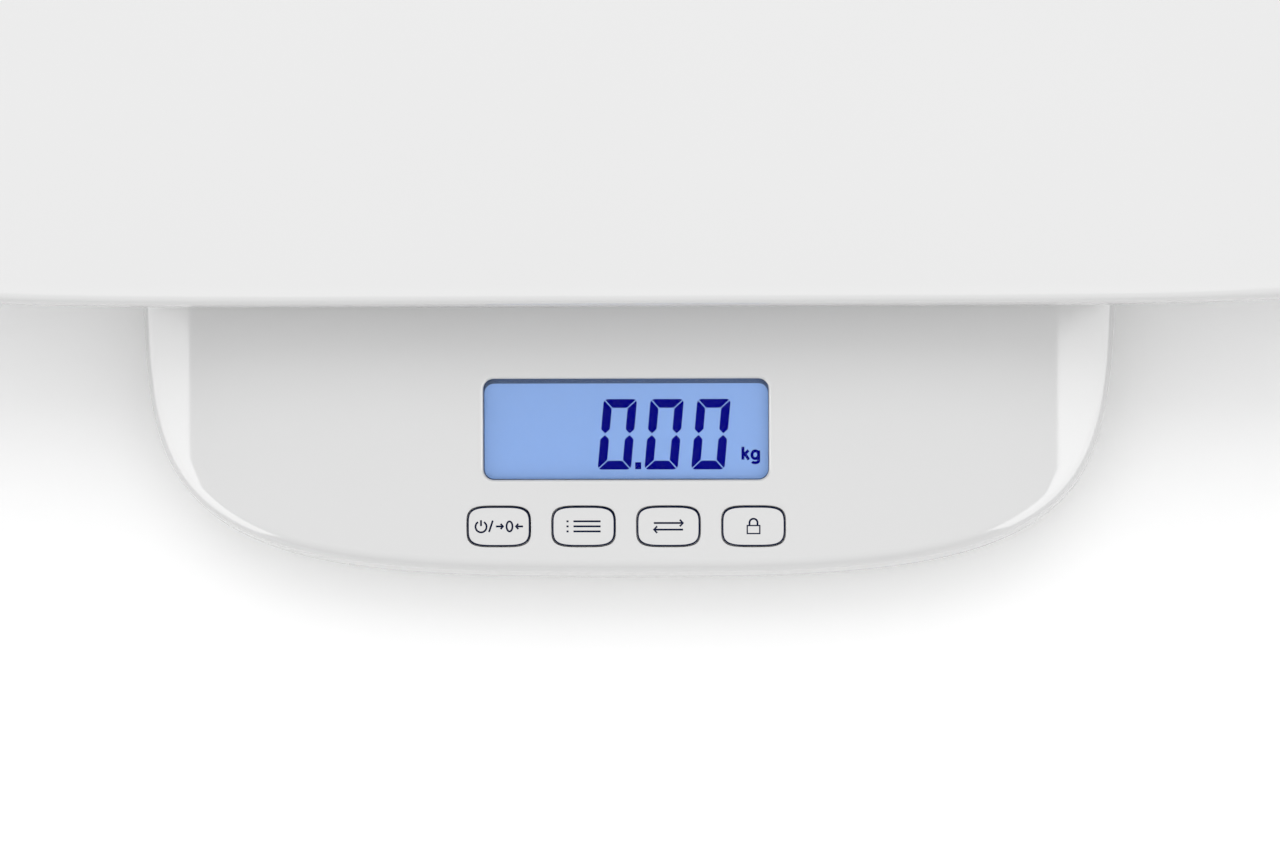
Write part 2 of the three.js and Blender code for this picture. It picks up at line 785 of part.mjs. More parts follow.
const caseScrewPlaces = corners.map(({ name, sx, sy }) => ({
  name,
  x: sx * (housingWidth / 2 - caseScrewSideInset),
  y: housingY + sy * (housingDepth / 2 - caseScrewEndInset),
}));
const casePillarTopZ = floorTopZ + casePillarHeight;
const caseHeadSeatZ = floorZ + caseCounterbore;

const paneWidth = windowWidth + 2 * paneBorder;
const paneHeight = windowHeight + 2 * paneBorder;
const paneCorner = windowCorner + paneBorder;

function topCover() {
  const half = housingWall / 2;
  const opening = prism(
    roundedRectangle(windowWidth, windowHeight, windowCorner),
    2 * cutOverrun + housingWall,
    0,
    0,
    -housingWall - cutOverrun,
  );
  const pocket = prism(
    roundedRectangle(paneWidth + 2 * fitGap, paneHeight + 2 * fitGap, paneCorner),
    housingWall + cutOverrun - windowLip,
    0,
    0,
    -housingWall - cutOverrun,
  );
  const keyWells = keyPlaces.map(({ x }) =>
    prism(
      keyShape(keyWidth + 2 * fitGap, keyHeight + 2 * fitGap),
      2 * cutOverrun + housingWall,
      x,
      keysAlongPanel,
      -housingWall - cutOverrun,
    ),
  );
  const postHoles = postPlaces.map(({ x, y }) => {
    const depth = housingWall + 2 * cutOverrun;
    return round(postRadius + postHoleClearance, depth, x, y, coverInsideZ - cutOverrun);
  });
  const boardBossBottom = boardTop + fitGap;
  const boardBosses = boardScrewPlaces.map(({ x, y }) =>
    onPanel(round(boardBossRadius, -half - boardBossBottom, x, y, boardBossBottom, screwSides)),
  );
  const boardPilots = boardScrewPlaces.map(({ x, y }) => {
    const bottom = boardBossBottom - cutOverrun;
    const length = boardScrewGrip + cutOverrun;
    return onPanel(round(boardScrewRadius + fitGap, length, x, y, bottom, screwSides));
  });
  const caseBosses = caseScrewPlaces.map(({ x, y }) => {
    const bottom = casePillarTopZ + fitGap;
    return round(caseBossRadius, coverHeight(x, y) - half - bottom, x, y, bottom, screwSides);
  });
  const caseScrewTopZ = caseHeadSeatZ + caseScrewGrip + casePillarHeight;
  const casePilots = caseScrewPlaces.map(({ x, y }) =>
    round(caseScrewRadius + fitGap, caseScrewTopZ - floorTopZ, x, y, floorTopZ, screwSides),
  );
  const openShell = shaped(coverShell(), {
    cuts: [onPanel(opening), onPanel(pocket), ...keyWells.map(onPanel), ...postHoles],
  });
  const bossed = shaped(openShell, { more: [...boardBosses, ...caseBosses] });
  return shaped(bossed, { cuts: [...boardPilots, ...casePilots] });
}
add("top_cover", topCover(), whiteGloss);

// Battery bay: cells lie side by side, each turned round from the last, over the floor's opening.
const bayFrontY = windowY + boardRear * Math.cos(panelTilt) + bayBehindBoard;
const bayDepth = batteryRadius * 2 + (batteryCount - 1) * batteryPitch + 2 * baySideGap;
const bayRearY = bayFrontY + bayDepth;
const bayMiddleY = (bayFrontY + bayRearY) / 2;
const bayLength = batteryLength + springLength + 2 * contactThickness + 4 * fitGap;
const batteryLowZ = floorTopZ + tabClearance;
const bayRoofZ = batteryLowZ + 2 * batteryRadius + bayHeadroom;
const openingFrontY = bayFrontY + bayFrontLedge;
const openingRearY = bayRearY - bayRearLedge;
const openingDepth = openingRearY - openingFrontY;
const openingMiddleY = (openingFrontY + openingRearY) / 2;

// Lower housing: a shallow bowl with the bay, the pad for the steel plate, four guide tubes that
// are also the platform's overload stops, the screw pillars and the recesses for its feet.
const footPlaces = corners.map(({ name, sx, sy }) => ({
  name,
  x: sx * (housingWidth / 2 - footSideInset),
  y: housingY + sy * (housingDepth / 2 - footEndInset),
}));
const guideTopZ = platformZ - platformTravel - stopSkin;
const guideRadius = platformPadRadius - platformWeb / 2;
const guideBore = postRadius - platformWeb / 2;

function bowlShell() {
  const tongueOut = housingWall + coverDraft + fitGap;
  const tongueIn = tongueOut + tongueThickness;
  const bowl = (inset, lowZ) =>
    quarterTurn(bowlSteps).map(({ out, down }) => {
      const height = lowZ + (partingZ - lowZ) * down;
      return insetRing(housingEdge, inset + underCut * (1 - out), () => height);
    });
  const flat = (inset, z) => insetRing(housingEdge, inset, () => z);
  const rings = [
    flat(tongueIn + underCut, floorTopZ),
    ...bowl(tongueIn, floorTopZ),
    flat(tongueIn, partingZ + tongueHeight),
    flat(tongueOut, partingZ + tongueHeight),
    flat(tongueOut, partingZ),
    ...bowl(0, floorZ).toReversed(),
    flat(underCut, floorZ),
  ];
  const middle = new THREE.Vector3(0, housingY, floorTopZ);
  return loft(rings, middle, middle.clone().setZ(floorZ));
}

function lowerHousing() {
  const rise = (height) => height - floorTopZ + housingWall / 2;
  const standing = floorTopZ - housingWall / 2;
  const bayBlock = block(
    bayLength + 2 * bayWall,
    bayDepth + 2 * bayWall,
    rise(bayRoofZ + bayWall),
    0,
    bayMiddleY,
    standing,
  );
  const bayHollow = block(bayLength, bayDepth, bayRoofZ - floorTopZ, 0, bayMiddleY, floorTopZ);
  const bayOpening = block(
    bayLength,
    openingDepth,
    housingWall + 2 * cutOverrun,
    0,
    openingMiddleY,
    floorZ - cutOverrun,
  );
  const pad = block(plateLength, plateWidth, rise(plateZ), 0, panY, standing);
  const pillars = caseScrewPlaces.map(({ x, y }) =>
    round(casePillarRadius, rise(casePillarTopZ), x, y, standing, screwSides),
  );
  const guides = postPlaces.map(({ x, y }) => round(guideRadius, rise(guideTopZ), x, y, standing));
  const below = floorZ - cutOverrun;
  const through = (radius, topZ, x, y, sides) => round(radius, topZ - below, x, y, below, sides);
  const cuts = [
    bayHollow,
    bayOpening,
    ...caseScrewPlaces.flatMap(({ x, y }) => [
      through(caseScrewHeadRadius + fitGap, caseHeadSeatZ, x, y, screwSides),
      through(caseScrewRadius + fitGap, casePillarTopZ + cutOverrun, x, y, screwSides),
    ]),
    ...postPlaces.map(({ x, y }) => through(guideBore, guideTopZ + cutOverrun, x, y)),
    ...lowerBoltPlaces.flatMap((x) => [
      through(boltHeadRadius + fitGap, plateBoltSeatZ, x, panY),
      through(boltRadius + fitGap, plateZ + cutOverrun, x, panY),
    ]),
    ...footPlaces.map(({ x, y }) => through(footRadius + fitGap, floorZ + footRecess, x, y)),
  ];
  return shaped(bowlShell(), { more: [bayBlock, pad, ...pillars, ...guides], cuts });
}
add("lower_housing", lowerHousing(), whiteSatin);

for (const { name, x, y } of caseScrewPlaces) {
  const grip = caseScrewGrip + casePillarHeight - caseCounterbore;
  const screw = crossScrew(caseScrewRadius, caseScrewHeadRadius, caseScrewHeadHeight, grip);
  add(`case_screw_${name}`, screw, steel).position.set(x, y, caseHeadSeatZ);
}

function foot() {
  const top = floorZ + footRecess - fitGap;
  const profile = [
    [0, 0],
    [footRadius - footChamfer, 0],
    [footRadius, footChamfer],
    [footRadius, top],
    [0, top],
  ].map(([x, y]) => new THREE.Vector2(x, y));
  return new THREE.LatheGeometry(profile, roundSides).rotateX(Math.PI / 2);
}
for (const { name, x, y } of footPlaces) add(`foot_${name}`, foot(), rubber).position.set(x, y, 0);

// Display stack, from the pane down to the board
add(
  "display_window",
  prism(roundedRectangle(paneWidth, paneHeight, paneCorner), paneThickness, 0, 0, paneBottom),
  clearPane,
  panel,
);

const glassWidth = windowWidth + 2 * glassBorder;
const glassHeight = windowHeight + 2 * glassBorder;
add("lcd_glass", block(glassWidth, glassHeight, glassThickness, 0, 0, glassBottom), displayBlue, panel);

const stripY = -glassHeight / 2 + stripWidth / 2 + fitGap;
const backlightHeight = glassHeight - stripWidth - 2 * fitGap;
add(
  "lcd_backlight",
  block(
    glassWidth,
    backlightHeight,
    backlightThickness,
    0,
    (glassHeight - backlightHeight) / 2,
    backlightBottom,
  ),
  milkyPlastic,
  panel,
);
add(
  "contact_strip",
  block(glassWidth - 2 * stripMargin, stripWidth, backlightThickness, 0, stripY, backlightBottom),
  rubber,
  panel,
);

function lcdHolder() {
  const height = glassTop - backlightBottom;
  const [innerWidth, innerHeight] = [glassWidth + 2 * fitGap, glassHeight + 2 * fitGap];
  const [outerWidth, outerHeight] = [innerWidth + 2 * holderWall, innerHeight + 2 * holderWall];
  const outer = block(outerWidth, outerHeight, height, 0, 0, backlightBottom);
  const cutLow = backlightBottom - cutOverrun;
  const inner = block(innerWidth, innerHeight, height + 2 * cutOverrun, 0, 0, cutLow);
  return shaped(outer, { cuts: [inner] });
}
add("lcd_holder", lcdHolder(), blackPlastic, panel);

function displayBoard() {
  const board = block(boardWidth, boardDepth, boardThickness, 0, boardMiddle, boardBottom);
  const holes = boardScrewPlaces.map(({ x, y }) => {
    const length = boardThickness + 2 * cutOverrun;
    return round(boardScrewRadius + fitGap, length, x, y, boardBottom - cutOverrun, screwSides);
  });
  return shaped(board, { cuts: holes });
}
add("display_board", displayBoard(), boardGreen, panel);

for (const { name, x, y } of boardScrewPlaces) {
  const grip = boardScrewGrip + boardThickness;
  const screw = crossScrew(boardScrewRadius, boardScrewHeadRadius, boardScrewHeadHeight, grip);
  add(`board_screw_${name}`, screw, steel, panel).position.set(x, y, boardBottom - fitGap);
}

add(
  "controller_chip",
  block(chipSize, chipSize, chipThickness, 0, 0, boardBottom - fitGap - chipThickness),
  blackPlastic,
  panel,
);

// Keys: flush caps that a rim below the cover keeps in, each on the plunger of its own switch.
function keyCap() {
  const cap = prism(keyShape(keyWidth, keyHeight), -keyBottom, 0, 0, keyBottom);
  const flange = prism(
    keyShape(keyWidth + 2 * keyFlange, keyHeight + 2 * keyFlange),
    keyFlangeThickness,
    0,
    0,
    keyBottom,
  );
  const hollowDepth = -keyBottom - keyWall;
  const hollow = prism(
    keyShape(keyWidth - 2 * keyWall, keyHeight - 2 * keyWall),
    hollowDepth + cutOverrun,
    0,
    0,
    keyBottom - cutOverrun,
  );
  const stem = round(keyStemRadius, hollowDepth + keyWall / 2, 0, 0, keyBottom, screwSides);
  const shell = shaped(cap, { more: [flange], cuts: [hollow] });
  return shaped(shell, { more: [stem] });
}

const switchBottom = boardTop + fitGap;
const plungerTop = keyBottom - fitGap;
const plungerBottom = plungerTop - plungerLength;

function switchBody() {
  const body = block(switchSize, switchSize, switchHeight, 0, 0, switchBottom);
  const boreBottom = plungerBottom - keyTravel - fitGap;
  const boreDepth = switchBottom + switchHeight - boreBottom + cutOverrun;
  return shaped(body, {
    cuts: [round(plungerRadius + fitGap, boreDepth, 0, 0, boreBottom, screwSides)],
  });
}

for (const { name, x } of keyPlaces) {
  const key = new THREE.Group();
  key.position.set(x, keysAlongPanel, 0);
  panel.add(key);
  add(`key_${name}`, keyCap(), whiteGloss, key);
  add(
    `switch_plunger_${name}`,
    round(plungerRadius, plungerLength, 0, 0, plungerBottom, screwSides),
    blackPlastic,
    key,
  );
  add(`switch_body_${name}`, switchBody(), blackPlastic, key);
}

// Cells and their contacts. Odd cells point right, even cells left, so the contacts join them in
// series: a plain plate or a spring for each cell's end, and shared plates between neighbours.
const batteryPlaces = Array.from({ length: batteryCount }, (_, i) => ({
  number: i + 1,
  facing: i % 2 ? -1 : 1,
  y: bayFrontY + baySideGap + batteryRadius + i * batteryPitch,
}));
const batteryZ = batteryLowZ + batteryRadius;
const contactX = bayLength / 2 - fitGap - contactThickness; // inner face of the contact plates

function battery() {
  const bodyLength = batteryLength - batteryNubLength;
  const profile = [
    [0, 0],
    [batteryRadius, 0],
    [batteryRadius, bodyLength],
    [batteryNubRadius, bodyLength],
    [batteryNubRadius, batteryLength],
    [0, batteryLength],
  ].map(([x, y]) => new THREE.Vector2(x, y));
  return new THREE.LatheGeometry(profile, roundSides).rotateZ(-Math.PI / 2);
}
for (const { number, facing, y } of batteryPlaces) {
  const mesh = add(`battery_${number}`, battery(), batterySleeve);
  mesh.position.set(facing * (contactX - fitGap - batteryLength), y, batteryZ);
  mesh.rotation.z = facing > 0 ? 0 : Math.PI;
}

// A conical spring along X, from a plate at x = 0 towards the cell.
class ConeSpiral extends THREE.Curve {
  getPoint(t, target = new THREE.Vector3()) {
    const angle = t * springTurns * 2 * Math.PI;
    const radius = springBaseRadius + (springTipRadius - springBaseRadius) * t;
    return target.set(
      t * (springLength - 2 * springWire),
      radius * Math.cos(angle),
      radius * Math.sin(angle),
    );
  }
}

function coil() {
  const steps = springTurns * stepsPerTurn;
  const section = ringShape(springWire, wireSides);
  return new THREE.ExtrudeGeometry(section, { steps, extrudePath: new ConeSpiral() });
}

// One contact: a plate behind each of its cells, joined by a bridge, with a spring on each cell's
// flat end. It is made for the left wall, and turned round for the right one.
function contact(cells, sx) {
  const plates = cells.map(({ y }) =>
    block(contactThickness, contactWidth, contactHeight, 0, y, batteryZ - contactHeight / 2),
  );
  const faceX = sx * (contactX + contactThickness / 2);
  let made = plates[0];
  if (cells.length > 1) {
    const middle = (cells[0].y + cells[1].y) / 2;
    const bridgeHeight = contactHeight / 2;
    const low = batteryZ - bridgeHeight / 2;
    const bridge = block(contactThickness, batteryPitch, bridgeHeight, 0, middle, low);
    made = shaped(plates[0], { more: [bridge, plates[1]] });
  }
  const springs = cells
    .filter(({ facing }) => facing !== sx)
    .map(({ y }) => {
      const spring = coil().translate(contactThickness / 2, 0, 0);
      if (sx > 0) spring.rotateZ(Math.PI);
      return spring.translate(0, y, batteryZ);
    });
  return shaped(made, { more: springs }).translate(faceX, 0, 0);
}
const [cell1, cell2, cell3, cell4] = batteryPlaces;
add("contact_left_front", contact([cell1, cell2], -1), contactMetal);
add("contact_left_rear", contact([cell3, cell4], -1), contactMetal);
add("contact_right_front", contact([cell1], 1), contactMetal);
add("contact_right_middle", contact([cell2, cell3], 1), contactMetal);
add("contact_right_rear", contact([cell4], 1), contactMetal);

// Battery door: it hooks its two tabs over the floor's rear ledge, turns up and is held by a latch.
function batteryDoor() {
  const width = bayLength - 2 * doorGap;
  const depth = openingDepth - 2 * doorGap;
  const frontEdge = openingMiddleY - depth / 2;
  const rearEdge = openingMiddleY + depth / 2;
  const plate = block(width, depth, doorThickness, 0, openingMiddleY, floorZ);
  const tabLow = floorTopZ + fitGap;
  const tabFront = rearEdge - doorTabRootLength;
  const tabLength = doorTabRootLength + doorGap + doorTabReach;
  const standing = floorZ + doorThickness / 2;
  const tabs = leftRight.flatMap(({ sx }) => {
    const x = (sx * doorTabSpacing) / 2;
    const [rootY, tabY] = [tabFront + doorTabRootLength / 2, tabFront + tabLength / 2];
    return [
      block(doorTabWidth, doorTabRootLength, tabLow - standing, x, rootY, standing),
      block(doorTabWidth, tabLength, doorTabThickness, x, tabY, tabLow),
    ];
  });
  const nibHeight = tabLow + latchNibHeight - standing;
  const nib = block(latchWidth, latchSlotWidth, nibHeight, 0, frontEdge + latchSlotWidth / 2, standing);
  const slotHeight = doorThickness + 2 * cutOverrun;
  const slots = leftRight.map(({ sx }) => {
    const x = (sx * (latchWidth + latchSlotWidth)) / 2;
    const length = latchLength + cutOverrun;
    const y = frontEdge - cutOverrun + length / 2;
    return block(latchSlotWidth, length, slotHeight, x, y, floorZ - cutOverrun);
  });
  const grooveLow = floorZ + gripGrooveDepth - cutOverrun;
  const grooves = Array.from({ length: gripGrooveCount }, (_, i) => {
    const y = frontEdge + latchLength / 2 + (i - (gripGrooveCount - 1) / 2) * gripGroovePitch;
    const grooveWidth = latchWidth - 2 * gripGrooveWidth;
    return block(grooveWidth, gripGrooveWidth, cutOverrun, 0, y, grooveLow);
  });
  return shaped(plate, { more: [...tabs, nib], cuts: [...slots, ...grooves] });
}
add("battery_door", batteryDoor(), whiteSatin);

// Leads inside the housing, from the load cell and from the bay to the board's underside.
function lead(points, radius, steps) {
  const path = new THREE.CatmullRomCurve3(points.map((point) => new THREE.Vector3(...point)));
  return new THREE.ExtrudeGeometry(ringShape(radius, cableSides), { steps, extrudePath: path });
}

const boardUnder = (x, y) =>
  new THREE.Vector3(x, y, boardBottom - fitGap).applyMatrix4(panel.matrix);

function loadCellCable() {
  const x = -(postSpacingX / 2 - guideRadius - 2 * cableRadius);
  const cellSideY = panY - cellWidth / 2 - fitGap;
  const cellMiddleZ = cellZ + cellHeight / 2;
  const plateFrontY = panY - plateWidth / 2;
  const runZ = plateZ + plateThickness + 2 * cableRadius;
  const end = boardUnder(x, boardRear - boardBossInset);
  return lead(
    [
      [x, cellSideY, cellMiddleZ],
      [x, cellSideY - 3 * cableRadius, cellMiddleZ],
      [x, plateFrontY, runZ],
      [x, (plateFrontY + bayRearY) / 2, runZ],
      [x, bayMiddleY, runZ],
      [x, end.y, end.z - 3 * cableRadius],
      [x, end.y, end.z],
    ],
    cableRadius,
    cableSteps,
  );
}
add("load_cell_cable", loadCellCable(), cableGrey);

function batteryLead() {
  const x = bayLength / 2 + bayWall + fitGap;
  const end = boardUnder(x + bayWall, boardRear - boardBossInset);
  const z = batteryZ + batteryRadius / 2;
  return lead(
    [
      [x, cell1.y, z],
      [x + 3 * leadRadius, cell1.y - leadRadius, z],
      [x + 3 * leadRadius, bayFrontY - bayWall, z],
      [end.x, end.y, end.z - 3 * leadRadius],
      [end.x, end.y, end.z],
    ],
    leadRadius,
    leadSteps,
  );
}
add("battery_lead", batteryLead(), blackPlastic);

export default scale;
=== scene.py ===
# A digital baby weighing scale, dressed for a photograph that looks steeply down on its front
# lobe. Lengths are in metres: X runs along the pan, -Y towards the keys, and Z is up.
import math

import bmesh
import bpy
from mathutils import Matrix, Vector


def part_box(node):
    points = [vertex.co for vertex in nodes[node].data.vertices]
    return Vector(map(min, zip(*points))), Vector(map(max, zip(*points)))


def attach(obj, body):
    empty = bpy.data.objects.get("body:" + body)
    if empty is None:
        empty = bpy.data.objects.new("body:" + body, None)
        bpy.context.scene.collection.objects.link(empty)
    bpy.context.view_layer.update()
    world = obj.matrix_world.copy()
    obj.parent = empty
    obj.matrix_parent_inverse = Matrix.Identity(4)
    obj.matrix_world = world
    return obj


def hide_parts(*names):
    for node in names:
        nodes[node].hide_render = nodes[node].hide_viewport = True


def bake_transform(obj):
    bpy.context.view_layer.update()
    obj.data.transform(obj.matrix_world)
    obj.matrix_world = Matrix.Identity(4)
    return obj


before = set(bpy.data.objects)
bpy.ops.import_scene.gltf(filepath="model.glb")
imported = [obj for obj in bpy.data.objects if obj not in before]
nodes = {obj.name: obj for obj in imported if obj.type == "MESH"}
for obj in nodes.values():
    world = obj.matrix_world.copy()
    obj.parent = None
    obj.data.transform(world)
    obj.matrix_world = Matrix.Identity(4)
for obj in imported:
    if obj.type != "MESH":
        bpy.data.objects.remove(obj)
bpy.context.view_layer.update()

scene = bpy.context.scene
scene.view_settings.view_transform = "Standard"

# Camera
# It hangs over the front lobe and looks at the display, from a little in front and to the right,
# so that the pan runs out of the picture on three sides.
camera_distance = 1.2
camera_aim = Vector((0.0041, -0.1396, 0.0388))
camera_lean_right = 0.0367
camera_lean_front = 0.1133
camera_roll = 0.0024
camera_back = Vector((camera_lean_right, -camera_lean_front, 1.0)).normalized()
camera_right = Vector((-camera_roll, 1.0, 0.0)).cross(camera_back).normalized()
camera_up = camera_back.cross(camera_right)
camera_data = bpy.data.cameras.new("camera")
camera_data.lens = 117.65
camera_data.sensor_width = 36.0
camera = bpy.data.objects.new("camera", camera_data)
camera.location = camera_aim + camera_back * camera_distance
camera.rotation_euler = Matrix((camera_right, camera_up, camera_back)).transposed().to_euler()
scene.collection.objects.link(camera)
scene.camera = camera

# Light
# A white tent gives nearly all the light, brightest overhead and dimmer towards the horizon, and
# a softbox above and behind adds a little. Two tall walls at the sides are there for reflections
# only: they draw bright bands along glossy flanks.
horizon_light = 0.45
overhead_light = 1.3


def shader_node(tree, kind, inputs):
    """A new node's outputs: each input named is set to a value or linked to another output."""
    node = tree.nodes.new(f"ShaderNode{kind}")
    for name, value in inputs.items():
        if isinstance(value, bpy.types.NodeSocket):
            tree.links.new(value, node.inputs[name])
        else:
            node.inputs[name].default_value = value
    return node.outputs


world = bpy.data.worlds.new("tent")
world.use_nodes = True
tent = world.node_tree
tent_way = shader_node(tent, "TexCoord", {})["Generated"]
tent_height = shader_node(tent, "SeparateXYZ", {"Vector": tent_way})["Z"]
tent_fall = {"Value": tent_height, "To Min": horizon_light, "To Max": overhead_light}
tent_cloth = tent.nodes["Background"]
tent_cloth.inputs["Color"].default_value = (1.0, 1.0, 1.0, 1.0)
tent.links.new(shader_node(tent, "MapRange", tent_fall)["Result"], tent_cloth.inputs["Strength"])
scene.world = world


def softbox(name, place, target, width, depth, power, turn=0.0, lights_surfaces=True):
    data = bpy.data.lights.new(name, "AREA")
    data.shape = "RECTANGLE"
    data.size = width
    data.size_y = depth
    data.energy = power
    lamp = bpy.data.objects.new(name, data)
    facing = (Vector(target) - Vector(place)).to_track_quat("-Z", "Y").to_matrix().to_4x4()
    lamp.matrix_world = Matrix.Translation(place) @ facing @ Matrix.Rotation(turn, 4, "Z")
    lamp.visible_diffuse = lights_surfaces
    scene.collection.objects.link(lamp)


softbox_place = (0.0, 0.65, 1.5)
softbox_target = (0.0, -0.05, 0.05)
softbox("softbox_above", softbox_place, softbox_target, width=1.4, depth=0.8, power=3.8)
wall_reach = 1.05
wall_width = 1.6
wall_turn = math.radians(9.6)
wall_rear_foot = -0.06
wall_radiance = 3.0
for side, wall_name, wall_height in ((-1, "wall_left", 1.5), (1, "wall_right", 1.98)):
    along = Vector((0.0, math.cos(wall_turn), math.sin(wall_turn))) * wall_width / 2
    upward = Vector((0.0, -math.sin(wall_turn), math.cos(wall_turn))) * wall_height / 2
    middle = Vector((side * wall_reach, wall_rear_foot, 0.0)) - along + upward
    target = middle - Vector((side, 0.0, 0.0))
    power = wall_radiance * math.pi * wall_width * wall_height
    softbox(wall_name, middle, target, wall_width, wall_height, power, side * wall_turn, False)

# Floor
# A plain white table top that runs far past the picture.
floor_reach = 3.0
floor_white = (0.96, 0.96, 0.96, 1.0)
floor_roughness = 0.75
floor_mesh = bpy.data.meshes.new("floor")
floor_shape = bmesh.new()
bmesh.ops.create_grid(floor_shape, x_segments=8, y_segments=8, size=floor_reach)
floor_shape.to_mesh(floor_mesh)
floor_shape.free()
floor_material = bpy.data.materials.new("white_table")
floor_material.use_nodes = True
floor_shader = floor_material.node_tree.nodes["Principled BSDF"]
floor_shader.inputs["Base Color"].default_value = floor_white
floor_shader.inputs["Roughness"].default_value = floor_roughness
floor_mesh.materials.append(floor_material)
floor = bpy.data.objects.new("floor", floor_mesh)
scene.collection.objects.link(floor)

# Weighing pan
# One glossy white ABS moulding: a dish whose two ends rise more than its front and back, with a
# rounded rim turned down all round. Four posts below it reach through the cover to the platform.


def footprint(node_name):
    """The middle of a CAD node, set down on the ground, and half its size."""
    low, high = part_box(node_name)
    return Vector(((low.x + high.x) / 2, (low.y + high.y) / 2, 0.0)), (high - low) / 2


def corner_places(reach, rows):
    """Places at -reach and then at +reach, each in the front row and then in the rear one."""
    return [(side * reach, row) for side in (-1, 1) for row in rows]


pan_centre, pan_half = footprint("weighing_pan")
post_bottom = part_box("weighing_pan")[0].z
pan_powers = (7.0, 7.0)
pan_grid = (150, 90)
pan_wall = 0.003
pan_lip = 0.0022
pan_skirt = 0.007
pan_edge_radius = 0.0006
pan_inner_drop = pan_wall * 1.5
pan_inner_inset = pan_wall * 1.6
pan_floor = 0.057
pan_front_rise = 0.017
pan_front_power = 2.4
pan_end_rise = 0.04297
pan_end_power = 2.6
post_radius = 0.008
post_edge = 0.0006
post_reach = Vector((0.060, 0.050))
post_places = corner_places(
    post_reach.x, (pan_centre.y - post_reach.y, pan_centre.y + post_reach.y)
)
post_screw_radius = 0.0023
post_screw_depth = 0.0095
rib_thickness = 0.0024
rib_edge = 0.0004
rib_drop = 0.0022
sharp_degrees = 32.0


class MouldedShell:
    """A shell grown from a grid that is drawn to an outline, then ring by ring over its rim."""

    def __init__(self, centre, half, powers, counts, inset, height):
        self.bm = bmesh.new()
        self.centre = centre
        layers = self.bm.verts.layers
        self.edge = layers.float_vector.new("edge")
        self.outward = layers.float_vector.new("outward")
        self.share = layers.float.new("share")
        self.rim = layers.float.new("rim")
        bmesh.ops.create_grid(self.bm, x_segments=counts[0], y_segments=counts[1], size=1.0)
        for vert in self.bm.verts:
            share = max(abs(vert.co.x), abs(vert.co.y))
            if share > 1e-6:
                edge, outward = self.outline_at(vert.co.x, vert.co.y, half, powers)
                vert[self.edge], vert[self.outward], vert[self.share] = edge, outward, share
        self.lay(self.bm.verts, inset, height)
        for vert in self.bm.verts:
            vert[self.rim] = vert.co.z
        self.ring = [edge for edge in self.bm.edges if edge.is_boundary]
        self.top_faces = list(self.bm.faces)

    @staticmethod
    def outline_at(s, t, half, powers):
        """Where the ray (s, t) meets |x/a|^p + |y/b|^q = 1, with the outward normal there."""
        across, along = powers
        largest = max(abs(s), abs(t))
        s, t = s / largest, t / largest
        low, high = 0.4, 1.0
        for _ in range(36):
            middle = (low + high) / 2
            outside = (middle * abs(s)) ** across + (middle * abs(t)) ** along > 1.0
            low, high = (low, middle) if outside else (middle, high)
        u, v = low * s, low * t
        slope_x = math.copysign(across * abs(u) ** (across - 1) / half.x, u)
        slope_y = math.copysign(along * abs(v) ** (along - 1) / half.y, v)
        return Vector((half.x * u, half.y * v, 0)), Vector((slope_x, slope_y, 0)).normalized()

    def lay(self, verts, inset, height):
        """Sets verts at their share of the way out to the outline drawn in by `inset`."""
        for vert in verts:
            spot = (vert[self.edge] - vert[self.outward] * inset) * vert[self.share]
            spot += self.centre
            vert.co = Vector((spot.x, spot.y, height(spot.x, spot.y)))

    def grow(self, inset, height):
        """One more ring at `inset`; `height` gives its z from x, y and the height of the rim."""
        made = bmesh.ops.extrude_edge_only(self.bm, edges=self.ring)["geom"]
        verts = {item for item in made if isinstance(item, bmesh.types.BMVert)}
        for vert in verts:
            spot = vert[self.edge] - vert[self.outward] * inset + self.centre
            vert.co = Vector((spot.x, spot.y, height(spot.x, spot.y, vert[self.rim])))
        edges = [item for item in made if isinstance(item, bmesh.types.BMEdge)]
        self.ring = [edge for edge in edges if all(vert in verts for vert in edge.verts)]

    def close(self, inset, height):
        """Closes the shell with a turned copy of its first grid, drawn in to `inset`."""
        copy = bmesh.ops.duplicate(self.bm, geom=self.top_faces)["geom"]
        faces = [item for item in copy if isinstance(item, bmesh.types.BMFace)]
        self.lay([item for item in copy if isinstance(item, bmesh.types.BMVert)], inset, height)
        bmesh.ops.reverse_faces(self.bm, faces=faces)
        edges = {edge for face in faces for edge in face.edges if edge.is_boundary}
        bmesh.ops.bridge_loops(self.bm, edges=list(edges) + self.ring)
        bmesh.ops.recalc_face_normals(self.bm, faces=self.bm.faces)
        return self.bm


def quarter_turn(steps):
    """Steps of a rounded edge: how far it has come out and gone down, as shares of its radius."""
    angles = [math.pi / 2 * i / steps for i in range(1, steps + 1)]
    return [(math.sin(angle), 1 - math.cos(angle)) for angle in angles]


def mesh_object(name, bm, material, sharp=sharp_degrees):
    """A shaped bmesh as an object at the origin, smooth but for its sharp edges."""
    mesh = bpy.data.meshes.new(name)
    bm.to_mesh(mesh)
    bm.free()
    mesh.shade_smooth()
    mesh.set_sharp_from_angle(angle=math.radians(sharp))
    if material:
        mesh.materials.append(material)
    piece = bpy.data.objects.new(name, mesh)
    scene.collection.objects.link(piece)
    return piece


def evaluated_mesh(piece):
    """The mesh that an object's modifiers or its curve make."""
    depsgraph = bpy.context.evaluated_depsgraph_get()
    return bpy.data.meshes.new_from_object(piece.evaluated_get(depsgraph))


def together(*shapes):
    """Several closed shapes, which don't touch, as one bmesh."""
    joined = bmesh.new()
    for shape in shapes:
        carrier = bpy.data.meshes.new("carrier")
        shape.to_mesh(carrier)
        shape.free()
        joined.from_mesh(carrier)
        bpy.data.meshes.remove(carrier)
    return joined


